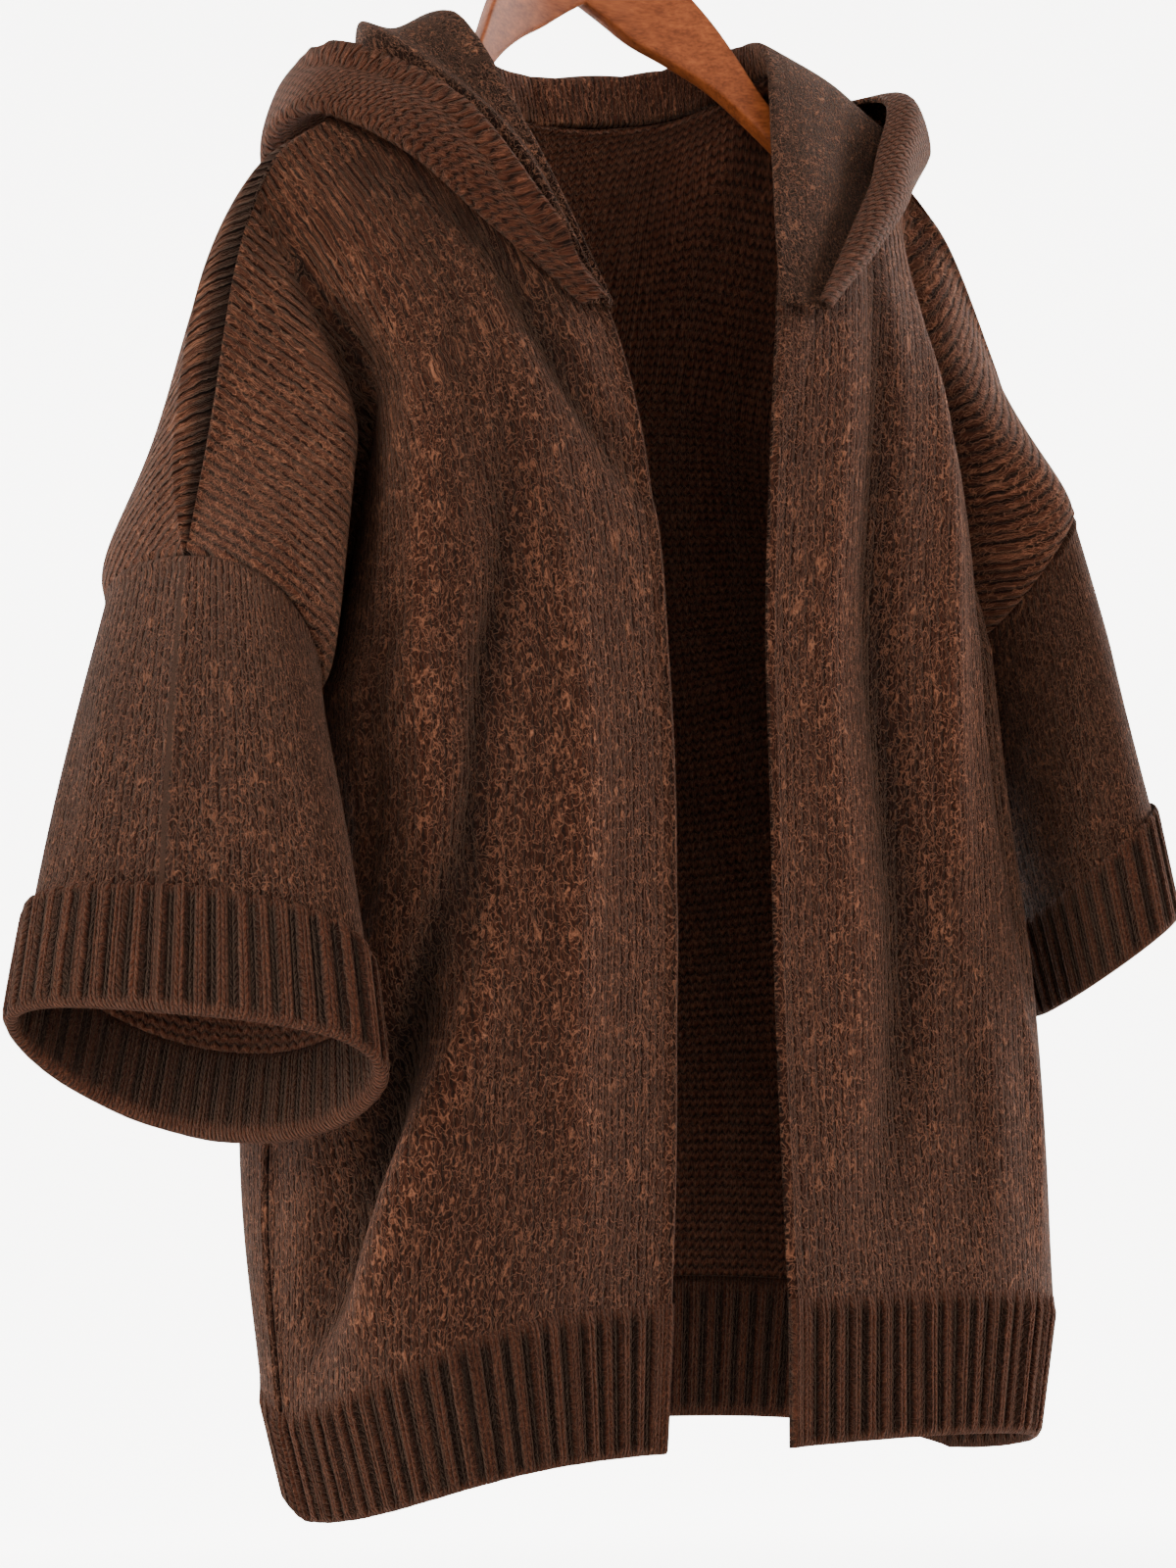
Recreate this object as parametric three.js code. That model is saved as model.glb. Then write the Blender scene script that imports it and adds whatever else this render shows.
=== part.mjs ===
// An open-front hooded cardigan in heavy knit, hung on a wooden coat hanger.
// Millimetres, +Z up, the front faces -Y. The tables give places measured from the hem's
// level at the middle of the hanger, and the group moves them so that the origin is the
// point inside the hook where a rail carries it.
import * as THREE from "three";

const WALL = 3; // thickness of the knit
const SEAM_GAP = 0.3; // between sewn pieces
const RIB_PITCH = 11.5; // one rib and one channel
const RIB_RISE = 2.6; // how far a rib stands above its channel
const TURNBACK = 3; // thickness of the edge that is turned back
const CUFF_LAYER = 4; // the turned-up layer of a cuff
const SEWN_RISE = 0.3; // share of a rib's rise where the hem is sewn on
const CUFF_STEP = 1; // between a sleeve and the layer turned up over it
const ARM_START = 0.56; // share of a panel's height where the side seam meets the armhole
const NECK_SHARE = 0.3; // share of the back's half width that the neckline takes
const SHOULDER_BLEND = 0.84; // above this share the rows settle onto the shoulder line
const ARM_FULLNESS = 14; // of the upper arm, in front of its row
const BACK_ARM = 24; // fullness of the arm's back, outwards and backwards
const BACK_ARM_WAY = 37; // degrees from straight back, outwards
const BACK_FULLNESS = 0.35; // how full a row's back is against its front
const SIDE_SETTLE = 0.12; // share of a row, by the side seam, where folds die out
const CREASE_LEAN = 0.35; // how far a crease leans in for each millimetre of its depth
const PARTING = 22; // between the front's and the back's rows under the shoulder
const ARM_LEAD = 0.04; // how far before its crease a row starts to turn to the arm
const BACK_CREASE = 0.4; // depth of the back's arm creases against the front's
const SLEEVE_SWELL = 0.05; // how much wider a sleeve is halfway down
const SLEEVE_END = 0.8; // the sleeve's cloth ends here, inside its cuff
const CUFF_TOP = 0.735; // the turned-up layer's edge, on the same scale
const CUFF_RIBS = 43;
const CUFF_EDGE = 0.018; // share of the sleeve's length over which a cuff's fold rounds off
const STRIP_START = 0.71; // the turned-back edge, as shares of the front's height
const STRIP_END = 0.795;
const HOOD_LIFT = 2.2; // clear of the neckline
const ARMHOLE_ROWS = 9;
const CREASE_REACH = 1.3; // how far beside a crease the columns stay close, in its widths
const SIDE_REACH = 0.7; // and at most this share of what is left of the row
const SIDE_START = 0.9; // shares of a panel's width and height past which its wall turns to
const TOP_START = 0.93; // its neighbour's
const STEP = 2e-3; // for slopes, as a share of a surface
const WIRE = 3.6; // diameter of the hook's wire
const HOOK_RADIUS = 21; // to the middle of the wire
const HOOK_STEM = 22;
const HOOK_MOUTH = 140; // degrees from level where the wire ends
const HANGER_TOP = 832;
const HANGER_Y = 30;
const HANGER_HALF = 196; // half the hanger's length

// Cubic interpolation through the rows of a table: track("t x y", rows)(t) is {x, y}.
function track(columns, rows) {
  const [, ...names] = columns.split(" ");
  const at = rows.map((row) => row[0]);
  const last = rows.length - 1;
  const slope = (i, c) => {
    if (i === 0) return (rows[1][c] - rows[0][c]) / (at[1] - at[0]);
    if (i === last)
      return (rows[last][c] - rows[last - 1][c]) / (at[last] - at[last - 1]);
    const before = at[i] - at[i - 1];
    const after = at[i + 1] - at[i];
    const left = (rows[i][c] - rows[i - 1][c]) / before;
    const right = (rows[i + 1][c] - rows[i][c]) / after;
    return (left * after + right * before) / (before + after);
  };
  return (t) => {
    const place = Math.min(Math.max(t, at[0]), at[last]);
    let i = 0;
    while (i < last - 1 && place >= at[i + 1]) i += 1;
    const span = at[i + 1] - at[i];
    const u = (place - at[i]) / span;
    const made = {};
    names.forEach((name, k) => {
      const c = k + 1;
      made[name] =
        (2 * u ** 3 - 3 * u ** 2 + 1) * rows[i][c] +
        (u ** 3 - 2 * u ** 2 + u) * span * slope(i, c) +
        (3 * u ** 2 - 2 * u ** 3) * rows[i + 1][c] +
        (u ** 3 - u ** 2) * span * slope(i + 1, c);
    });
    return made;
  };
}

const vec = ({ x, y, z }) => new THREE.Vector3(x, y, z);
const point = (x, y, z) => new THREE.Vector3(x, y, z);
const mix = (a, b, share) => a.clone().lerp(b, share);
const steps = (n, from = 0, to = 1) =>
  Array.from({ length: n + 1 }, (_, i) => from + ((to - from) * i) / n);
const smooth = (from, to, t) => THREE.MathUtils.smoothstep(t, from, to);

// A closed ring through its outermost, front, under and back points, at an angle in radians.
function ringPoint({ out, front, under, back }, angle) {
  const centre = out.clone().add(front).add(under).add(back).multiplyScalar(0.25);
  const across = out.clone().sub(under).multiplyScalar(0.5);
  const along = front.clone().sub(back).multiplyScalar(0.5);
  const lift = out.clone().add(under).sub(front).sub(back).multiplyScalar(0.25);
  return centre
    .addScaledVector(across, Math.cos(angle))
    .addScaledVector(along, Math.sin(angle))
    .addScaledVector(lift, Math.cos(2 * angle));
}

// A hollow that runs from the place low to the place high across a front, over the shares of
// its height between from and to.
const fold = (name, run, depth) => ({ name, ...run, depth });

// The wearer's right is at -X and the wearer's left at +X. t runs from the rib's top (0) to
// the shoulder line (1), and s from the front edge or centre back (0) to the side (1).
const sides = {
  right: {
    sign: -1,
    frontEdge: track("t x y z", [
      [0, -71, -120, 79],
      [0.15, -63, -116, 150],
      [0.3, -57, -112, 240],
      [0.45, -53, -110, 333],
      [0.56, -53, -107, 400],
      [0.68, -56, -103, 475],
      [0.8, -68, -86, 572],
      [0.9, -88, -50, 655],
      [1, -104, -5, 728],
    ]),
    sideSeam: track("t x y z", [
      [0, -220, 5, 30],
      [0.15, -217, 20, 120],
      [0.3, -214, 16, 220],
      [0.45, -216, 4, 310],
      [0.56, -223, -8, 372],
    ]),
    shoulder: track("s x y z", [
      [0, -104, -5, 728],
      [0.25, -174, 0, 681],
      [0.44, -218, -2, 648],
      [0.57, -241, -10, 600],
      [0.74, -263, -20, 517],
      [1, -283, -30, 445],
    ]),
    armhole: {
      out: point(-283, -30, 445),
      front: point(-254, -90, 408),
      under: point(-223, -8, 372),
      back: point(-275, 58, 425),
    },
    cuff: {
      out: point(-303, -32, 225),
      front: point(-237, -119, 196),
      under: point(-252, 0, 164),
      back: point(-330, 66, 216),
    },
    hemEdge: point(-78, -120, 7),
    hemSide: point(-203, 10, -25),
    crease: track("t s depth width", [
      [0.25, 0.86, 0, 0.1],
      [0.42, 0.87, 5, 0.09],
      [0.56, 0.87, 19, 0.08],
      [0.68, 0.8, 38, 0.07],
      [0.8, 0.69, 46, 0.07],
      [0.9, 0.58, 16, 0.08],
      [1, 0.46, 0, 0.09],
    ]),
    chest: track("t x y", [
      [0.56, -223, -8],
      [0.68, -218, -4],
      [0.8, -210, 0],
      [0.9, -202, -8],
      [1, -200, -12],
    ]),
    folds: [
      fold("pull to the hem corner", { low: 1.2, high: 0.32, from: -0.06, to: 0.46, width: 0.26 }, 12),
      fold("swell above the hem", { low: 1.08, high: 0.08, from: -0.04, to: 0.36, width: 0.28 }, -6),
      fold("hollow by the edge", { low: 0.3, high: 0.36, from: 0.1, to: 0.9, width: 0.13 }, 5),
    ],
  },
  left: {
    sign: 1,
    frontEdge: track("t x y z", [
      [0, 1, -120, 77],
      [0.15, 2, -116, 150],
      [0.3, 4, -112, 235],
      [0.45, 6, -110, 333],
      [0.56, 7, -109, 410],
      [0.68, 14, -106, 485],
      [0.8, 36, -88, 583],
      [0.9, 70, -50, 660],
      [1, 104, -5, 735],
    ]),
    sideSeam: track("t x y z", [
      [0, 222, 0, 55],
      [0.15, 224, 8, 130],
      [0.3, 220, 8, 230],
      [0.45, 210, 2, 330],
      [0.56, 208, -2, 418],
    ]),
    shoulder: track("s x y z", [
      [0, 104, -5, 735],
      [0.25, 155, -3, 709],
      [0.44, 196, -8, 684],
      [0.57, 214, -16, 655],
      [0.74, 234, -24, 592],
      [1, 260, -30, 500],
    ]),
    armhole: {
      out: point(260, -30, 500),
      front: point(227, -85, 470),
      under: point(208, -2, 418),
      back: point(243, 57, 479),
    },
    cuff: {
      out: point(324, -53, 271),
      front: point(241, -133, 253),
      under: point(266, -12, 218),
      back: point(363, 45, 257),
    },
    hemEdge: point(-2, -120, 4),
    hemSide: point(206, 4, -19),
    crease: track("t s depth width", [
      [0.25, 0.86, 0, 0.1],
      [0.42, 0.87, 4, 0.09],
      [0.56, 0.86, 15, 0.09],
      [0.68, 0.78, 28, 0.085],
      [0.8, 0.65, 36, 0.08],
      [0.9, 0.54, 14, 0.085],
      [1, 0.46, 0, 0.09],
    ]),
    chest: track("t x y", [
      [0.56, 208, -2],
      [0.68, 200, 0],
      [0.8, 192, -2],
      [0.9, 190, -12],
      [1, 194, -16],
    ]),
    folds: [
      fold("hollow by the edge", { low: 0.12, high: 0.27, from: -0.2, to: 0.9, width: 0.16 }, 8),
      fold("hollow by the side", { low: 0.86, high: 0.8, from: -0.2, to: 0.5, width: 0.1 }, 7),
    ],
  },
};

// Shape of each row: how square it is across, forward and in height, and its fullness.
const backShape = track("t across forward height fullness", [
  [0, 0.9, 0.86, 1, 6],
  [0.15, 0.76, 0.7, 1, 8],
  [0.3, 0.69, 0.6, 1, 10],
  [0.42, 0.72, 0.6, 1, 12],
  [0.56, 0.86, 0.74, 1, 14],
  [0.8, 0.9, 0.85, 1.05, 16],
  [0.9, 0.95, 0.95, 1.1, 12],
  [1, 1, 1, 1.15, 0],
]);
const rowShape = track("t across forward height fullness", [
  [0, 0.62, 0.55, 1, 6],
  [0.42, 0.72, 0.6, 1, 12],
  [0.56, 0.86, 0.74, 1, 14],
  [0.8, 0.9, 0.85, 1.05, 16],
  [0.9, 0.95, 0.95, 1.1, 12],
  [1, 1, 1, 1.15, 0],
]);
const centreBack = track("t x y z", [
  [0, 0, 101, 80],
  [0.3, 0, 108, 240],
  [0.56, 0, 107, 410],
  [0.8, 0, 98, 580],
  [0.92, 0, 86, 664],
  [1, 0, 72, 712],
]);
const backNeck = track("s x y z", [
  [0, 0, 72, 712],
  [0.4, 40, 66, 713],
  [0.75, 80, 40, 718],
  [1, 104, -5, 730],
]);
const hemCentreBack = point(0, 98, 3);

const share = (t) => (t - ARM_START) / (1 - ARM_START);

// The outer line of a panel: the side seam, then half of the armhole.
function outerLine(side, t, half) {
  if (t <= ARM_START) return vec(side.sideSeam(t));
  const angle = Math.PI * (1 - share(t));
  return ringPoint(side.armhole, half === "front" ? angle : -angle);
}

// Above the armhole's foot a row follows the chest as far as the arm crease, then the arm.
function rowEnd(side, s, t, half) {
  const end = outerLine(side, t, half);
  if (t <= ARM_START) return end;
  const chest = side.chest(t);
  if (half === "back") chest.y += PARTING * share(t);
  const arm = smooth(side.crease(t).s - ARM_LEAD, 1, s);
  const x = THREE.MathUtils.lerp(chest.x, end.x, arm);
  return point(x, THREE.MathUtils.lerp(chest.y, end.y, arm), end.z);
}

// The arm beyond the crease is rounder than the row that carries it.
function armFullness(side, s, t) {
  const { s: start } = side.crease(t);
  if (t <= ARM_START || s <= start) return 0;
  const across = Math.sin((Math.PI * (s - start)) / (1 - start));
  return ARM_FULLNESS * across * Math.sin(Math.PI * share(t)) ** 1.3;
}

// How far the back of the arm stands out from its row.
function backArm(side, s, t) {
  const { s: start } = side.crease(t);
  if (t <= ARM_START || s <= start) return point(0, 0, 0);
  const way = THREE.MathUtils.degToRad(BACK_ARM_WAY);
  const across = Math.sin((Math.PI * (s - start)) / (1 - start));
  const along = Math.max(Math.sin(Math.PI * share(t) ** 3), 0);
  const swell = BACK_ARM * across * along ** 0.6;
  return point(side.sign * Math.sin(way) * swell, Math.cos(way) * swell, 0);
}

// A row that starts at one point and rounds off to another.
function rounded(start, end, s, shape, outward) {
  const turn = (s * Math.PI) / 2;
  const across = Math.sin(turn) ** shape.across;
  const forward = Math.max(Math.cos(turn), 0) ** shape.forward;
  const height = Math.max(Math.cos(turn), 0) ** shape.height;
  const fuller = shape.fullness * Math.sin(Math.PI * s) ** 1.2 * outward;
  return point(
    start.x + (end.x - start.x) * across,
    end.y + (start.y - end.y) * forward + fuller,
    end.z + (start.z - end.z) * height,
  );
}

const hump = (s, centre, width) => Math.exp(-2 * ((s - centre) / width) ** 2);

function frontPoint(side, s, t) {
  const row = rounded(
    vec(side.frontEdge(t)),
    rowEnd(side, s, t, "front"),
    s,
    rowShape(t),
    -1,
  );
  const made = mix(row, vec(side.shoulder(s)), smooth(SHOULDER_BLEND, 1, t));
  const crease = side.crease(t);
  const settle = smooth(0, SIDE_SETTLE, 1 - s);
  const sunk = crease.depth * hump(s, crease.s, crease.width) * settle;
  made.y += sunk - armFullness(side, s, t);
  made.x -= side.sign * CREASE_LEAN * sunk;
  for (const { low, high, from, to, width, depth } of side.folds) {
    const u = (t - from) / (to - from);
    if (u <= 0 || u >= 1) continue;
    const centre = low + (high - low) * u;
    const swell = Math.sin(Math.PI * u) ** 0.7 * settle;
    const push = depth * swell * hump(s, centre, width);
    const turn = (s * Math.PI) / 2;
    made.y += push * Math.cos(turn);
    made.x -= side.sign * push * Math.sin(turn);
  }
  return made;
}

function backTop(side, s) {
  if (s >= NECK_SHARE) return vec(side.shoulder((s - NECK_SHARE) / (1 - NECK_SHARE)));
  const neck = vec(backNeck(s / NECK_SHARE));
  const end = vec(side.shoulder(0));
  neck.x *= side.sign;
  neck.z += (end.z - vec(backNeck(1)).z) * (s / NECK_SHARE) ** 2;
  return neck;
}

// s runs from -1 at the wearer's right to 1 at the left.
function backPoint(s, t) {
  const side = s < 0 ? sides.right : sides.left;
  const away = Math.abs(s);
  const row = rounded(
    vec(centreBack(t)),
    rowEnd(side, away, t, "back"),
    away,
    backShape(t),
    BACK_FULLNESS,
  );
  const made = mix(row, backTop(side, away), smooth(SHOULDER_BLEND - 0.04, 1, t));
  const crease = side.crease(t);
  const settle = smooth(0, SIDE_SETTLE, 1 - away);
  made.y -= BACK_CREASE * crease.depth * hump(away, crease.s, crease.width) * settle;
  return made.add(backArm(side, away, t));
}

function sleevePoint(side, angle, along) {
  const middle = (ring) => mix(ringPoint(ring, 0), ringPoint(ring, Math.PI), 0.5);
  const centre = mix(middle(side.armhole), middle(side.cuff), along);
  const made = mix(ringPoint(side.armhole, angle), ringPoint(side.cuff, angle), along);
  const swell = 1 + SLEEVE_SWELL * Math.sin(Math.PI * along);
  return centre.clone().add(made.sub(centre).multiplyScalar(swell));
}

// Straight lines between the places of a curve.
function straightened(curve, places) {
  const corners = places.map(curve);
  return (s) => {
    let i = 1;
    while (i < places.length - 1 && places[i] < s) i += 1;
    const part = (s - places[i - 1]) / (places[i] - places[i - 1]);
    return mix(corners[i - 1], corners[i], part);
  };
}

// Rows of points become one closed geometry. Rows and columns may each close on themselves.
function shell(outer, inner, wrapColumns) {
  const rows = outer.length;
  const columns = outer[0].length;
  const positions = [];
  for (const grid of [outer, inner])
    for (const row of grid) for (const p of row) positions.push(p.x, p.y, p.z);
  const index = [];
  const at = (layer, r, c) => layer * rows * columns + r * columns + (c % columns);
  const quad = (a, b, c, d) => index.push(a, b, c, a, c, d);
  const across = wrapColumns ? columns : columns - 1;
  for (let r = 0; r < rows - 1; r += 1)
    for (let c = 0; c < across; c += 1) {
      quad(at(0, r, c), at(0, r, c + 1), at(0, r + 1, c + 1), at(0, r + 1, c));
      quad(at(1, r, c), at(1, r + 1, c), at(1, r + 1, c + 1), at(1, r, c + 1));
    }
  for (let c = 0; c < across; c += 1) {
    quad(at(0, 0, c), at(1, 0, c), at(1, 0, c + 1), at(0, 0, c + 1));
    const r = rows - 1;
    quad(at(0, r, c), at(0, r, c + 1), at(1, r, c + 1), at(1, r, c));
  }
  if (!wrapColumns)
    for (let r = 0; r < rows - 1; r += 1) {
      const c = columns - 1;
      quad(at(0, r, 0), at(0, r + 1, 0), at(1, r + 1, 0), at(1, r, 0));
      quad(at(0, r, c), at(1, r, c), at(1, r + 1, c), at(0, r + 1, c));
    }
  return facingOut(positions, index);
}

// A closed loop of points at each station, joined round: a ring if the stations wrap.
function loft(stations, wrapStations) {
  const count = stations.length;
  const points = stations[0].length;
  const positions = [];
  for (const loop of stations) for (const p of loop) positions.push(p.x, p.y, p.z);
  const index = [];
  const at = (r, c) => (r % count) * points + (c % points);
  for (let r = 0; r < (wrapStations ? count : count - 1); r += 1)
    for (let c = 0; c < points; c += 1) {
      index.push(at(r, c), at(r, c + 1), at(r + 1, c + 1));
      index.push(at(r, c), at(r + 1, c + 1), at(r + 1, c));
    }
  if (!wrapStations)
    for (let c = 1; c < points - 1; c += 1) {
      index.push(at(0, 0), at(0, c + 1), at(0, c));
      index.push(at(count - 1, 0), at(count - 1, c), at(count - 1, c + 1));
    }
  return facingOut(positions, index);
}

function facingOut(positions, index) {
  let volume = 0;
  const corner = (i) =>
    point(positions[3 * i], positions[3 * i + 1], positions[3 * i + 2]);
  for (let i = 0; i < index.length; i += 3)
    volume += corner(index[i]).dot(corner(index[i + 1]).cross(corner(index[i + 2])));
  if (volume < 0)
    for (let i = 0; i < index.length; i += 3)
      [index[i + 1], index[i + 2]] = [index[i + 2], index[i + 1]];
  const made = new THREE.BufferGeometry();
  made.setAttribute("position", new THREE.Float32BufferAttribute(positions, 3));
  made.setIndex(index);
  made.computeVertexNormals();
  return made;
}

// The unit normal of a surface p(a, b), turned to the inside by its sign.
function inwardOf(surface, a, b, inside) {
  const da = surface(Math.min(a + STEP, 1), b).sub(surface(Math.max(a - STEP, 0), b));
  const db = surface(a, Math.min(b + STEP, 1)).sub(surface(a, Math.max(b - STEP, 0)));
  const normal = da.cross(db).normalize();
  return normal.multiplyScalar(inside);
}

const armCentre = (side) =>
  ["out", "front", "under", "back"]
    .reduce((sum, key) => sum.add(side.armhole[key]), new THREE.Vector3())
    .multiplyScalar(0.25);

// Panels that share a line are both thickened towards the same side of it.
function sharedInward(side, p, t) {
  if (t > ARM_START) return armCentre(side).sub(p).normalize();
  return point(-side.sign, 0, 0);
}

// Places across a panel, closer together along its arm crease.
function acrossCrease(side, t, first, counts) {
  const { s: middle, width } = side.crease(t);
  const near = Math.min(CREASE_REACH * width, (1 - middle) * SIDE_REACH);
  return [
    ...steps(counts.before, first, middle - near).slice(0, -1),
    ...steps(counts.within, middle - near, middle + near).slice(0, -1),
    ...steps(counts.after, middle + near, 1),
  ];
}

const PANEL_ROWS = [
  ...steps(8, 0, ARM_START),
  ...steps(ARMHOLE_ROWS, ARM_START, 1).slice(1),
];

const frontColumns = (side, t) =>
  acrossCrease(side, t, 0, { before: 11, within: 8, after: 5 });

const backHalfColumns = (side, t) => [
  ...steps(3, 0, NECK_SHARE).slice(0, -1),
  ...acrossCrease(side, t, NECK_SHARE, { before: 4, within: 6, after: 4 }),
];

function backColumns(t) {
  const right = backHalfColumns(sides.right, t).slice(1).reverse();
  return [...right.map((s) => -s), ...backHalfColumns(sides.left, t)];
}

// Where the back's last row has its corners along the shoulder line.
const shoulderPlaces = (side) =>
  backHalfColumns(side, 1)
    .filter((s) => s >= NECK_SHARE)
    .map((s) => (s - NECK_SHARE) / (1 - NECK_SHARE));

// The top of the wearer's left front edge is turned back and lies on the panel.
const turnback = track("t width", [
  [STRIP_START, 0.012],
  [0.75, 0.045],
  [STRIP_END, 0.07],
]);

function turnedEdge(side) {
  const surface = (s, t) => frontPoint(side, s, t);
  const outer = [];
  const inner = [];
  for (const t of steps(6, STRIP_START, STRIP_END)) {
    const outerRow = [];
    const innerRow = [];
    for (const s of steps(4, 0, turnback(t).width)) {
      const outward = inwardOf(surface, s, t, side.sign);
      outerRow.push(surface(s, t).addScaledVector(outward, TURNBACK + SEAM_GAP));
      innerRow.push(surface(s, t).addScaledVector(outward, SEAM_GAP));
    }
    outer.push(outerRow);
    inner.push(innerRow);
  }
  return shell(outer, inner, false);
}

function frontPanel(side) {
  const surface = (s, t) => frontPoint(side, s, t);
  const sewn = straightened((s) => vec(side.shoulder(s)), shoulderPlaces(side));
  const outer = [];
  const inner = [];
  for (const t of PANEL_ROWS) {
    const outerRow = [];
    const innerRow = [];
    for (const s of frontColumns(side, t)) {
      const p = surface(s, t);
      const inward = inwardOf(surface, s, t, -side.sign);
      const atSide = smooth(SIDE_START, 1, s);
      if (atSide > 0) inward.lerp(sharedInward(side, p, t), atSide).normalize();
      const atTop = smooth(TOP_START, 1, t);
      if (atTop > 0) inward.lerp(shoulderInward(side, s), atTop).normalize();
      if (t === 0) inward.setZ(0).normalize();
      if (t === 1) p.copy(sewn(s));
      if (s === 1 || t === 1) p.y -= SEAM_GAP;
      outerRow.push(p);
      innerRow.push(p.clone().addScaledVector(inward, WALL));
    }
    outer.push(outerRow);
    inner.push(innerRow);
  }
  return shell(outer, inner, false);
}

// Below the shoulder line, square to it.
function shoulderInward(side, s) {
  const along = vec(side.shoulder(Math.min(s + STEP, 1)))
    .sub(vec(side.shoulder(Math.max(s - STEP, 0))))
    .normalize();
  const down = point(0, 0, -1);
  return down.addScaledVector(along, -down.dot(along)).normalize();
}

function backPanel() {
  const surface = (a, t) => backPoint(2 * a - 1, t);
  const outer = [];
  const inner = [];
  for (const t of PANEL_ROWS) {
    const outerRow = [];
    const innerRow = [];
    for (const s of backColumns(t)) {
      const side = s < 0 ? sides.right : sides.left;
      const away = Math.abs(s);
      const p = backPoint(s, t);
      const inward = inwardOf(surface, (s + 1) / 2, t, 1);
      const atSide = smooth(SIDE_START, 1, away);
      if (atSide > 0) inward.lerp(sharedInward(side, p, t), atSide).normalize();
      const atTop = smooth(TOP_START, 1, t);
      if (atTop > 0 && away >= NECK_SHARE) {
        const place = (away - NECK_SHARE) / (1 - NECK_SHARE);
        inward.lerp(shoulderInward(side, place), atTop).normalize();
      }
      if (t === 0) inward.setZ(0).normalize();
      if (away === 1 || (t === 1 && away >= NECK_SHARE)) p.y += SEAM_GAP;
      outerRow.push(p);
      innerRow.push(p.clone().addScaledVector(inward, WALL));
    }
    outer.push(outerRow);
    inner.push(innerRow);
  }
  return shell(outer, inner, false);
}

function sleeve(side) {
  const around = steps(36).slice(0, -1).map((u) => u * 2 * Math.PI);
  const along = steps(6, 0, SLEEVE_END);
  const corners = steps(2 * ARMHOLE_ROWS).map((u) => u * 2 * Math.PI);
  const sewn = straightened((angle) => ringPoint(side.armhole, angle), corners);
  const outer = [];
  const inner = [];
  const down = ringCentre(side, 1).sub(armCentre(side)).normalize();
  for (const v of along) {
    const centre = ringCentre(side, v);
    const row = around.map((angle) => (v === 0 ? sewn(angle) : sleevePoint(side, angle, v)));
    if (v === 0) row.forEach((p) => p.addScaledVector(down, 4 * SEAM_GAP));
    const inwards = row.map((p) => centre.clone().sub(p).normalize());
    outer.push(row);
    inner.push(row.map((p, i) => p.clone().addScaledVector(inwards[i], WALL)));
  }
  return shell(outer, inner, true);
}

const ringCentre = (side, v) =>
  sleevePoint(side, 0, v)
    .add(sleevePoint(side, Math.PI / 2, v))
    .add(sleevePoint(side, Math.PI, v))
    .add(sleevePoint(side, 1.5 * Math.PI, v))
    .multiplyScalar(0.25);

// The ribbed end of a sleeve, turned up over it: one loop of points for each rib and channel.
function cuff(side) {
  const around = evenly((u) => sleevePoint(side, u * 2 * Math.PI, 1), 2 * CUFF_RIBS);
  const stations = around.slice(0, -1).map((u, i) => {
    const angle = u * 2 * Math.PI;
    const rib = i % 2 === 0 ? RIB_RISE : 0;
    const face = CUFF_STEP + CUFF_LAYER - RIB_RISE / 2 + rib;
    const place = (along, rise) => {
      const p = sleevePoint(side, angle, along);
      const outward = p.clone().sub(ringCentre(side, along)).normalize();
      return p.addScaledVector(outward, rise);
    };
    const start = SLEEVE_END + CUFF_EDGE / 4;
    return [
      place(start, -WALL),
      place(1 - CUFF_EDGE, -WALL),
      place(1, -WALL / 3),
      place(1, face - WALL / 2),
      place(1 - CUFF_EDGE, face),
      place(CUFF_TOP + CUFF_EDGE / 2, face),
      place(CUFF_TOP, 2 * CUFF_STEP),
      place(start, CUFF_STEP),
    ];
  });
  return loft(stations, true);
}

// Shares of a curve that part it into equal lengths.
function evenly(curve, count) {
  const fine = steps(200);
  const lengths = [0];
  for (let i = 1; i < fine.length; i += 1)
    lengths.push(lengths[i - 1] + curve(fine[i]).distanceTo(curve(fine[i - 1])));
  const total = lengths[lengths.length - 1];
  return steps(count).map((u) => {
    const want = u * total;
    let i = 1;
    while (i < lengths.length - 1 && lengths[i] < want) i += 1;
    const part = (want - lengths[i - 1]) / (lengths[i] - lengths[i - 1]);
    return fine[i - 1] + (fine[i] - fine[i - 1]) * part;
  });
}

// The ribbed hem below a panel: its top follows the panel's last row of columns.
function hem({ top, bottom, columns, inside, first, last, trim }) {
  const sewn = straightened(top, columns);
  const places = evenly(sewn, 2 * Math.round(lengthOf(sewn) / RIB_PITCH));
  const surface = (s, v) => mix(top(s), bottom(s), v);
  const outer = [];
  const inner = [];
  for (const v of steps(3)) {
    const outerRow = [];
    const innerRow = [];
    places.forEach((s, i) => {
      const p = mix(sewn(s), bottom(s), v);
      if (v === 0) p.z -= 2 * SEAM_GAP;
      const inward = inwardOf(surface, s, v, inside);
      const ended = (first && i === 0) || (last && i === places.length - 1);
      if (ended) inward.set(-Math.sign(p.x), 0, 0);
      if (ended) p.y += trim;
      if (v === 0) inward.setZ(0).normalize();
      const rib = i % 2 === 0 && !ended ? RIB_RISE : 0;
      outerRow.push(p.clone().addScaledVector(inward, -rib * (v === 0 ? SEWN_RISE : 1)));
      innerRow.push(p.clone().addScaledVector(inward, WALL));
    });
    outer.push(outerRow);
    inner.push(innerRow);
  }
  return shell(outer, inner, false);
}

function lengthOf(curve) {
  const fine = steps(200).map(curve);
  return fine.slice(1).reduce((sum, p, i) => sum + p.distanceTo(fine[i]), 0);
}

const hemShape = { across: 0.62, forward: 0.55, height: 1, fullness: 6 };
const backHemShape = { across: 0.9, forward: 0.86, height: 1, fullness: 6 };

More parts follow.
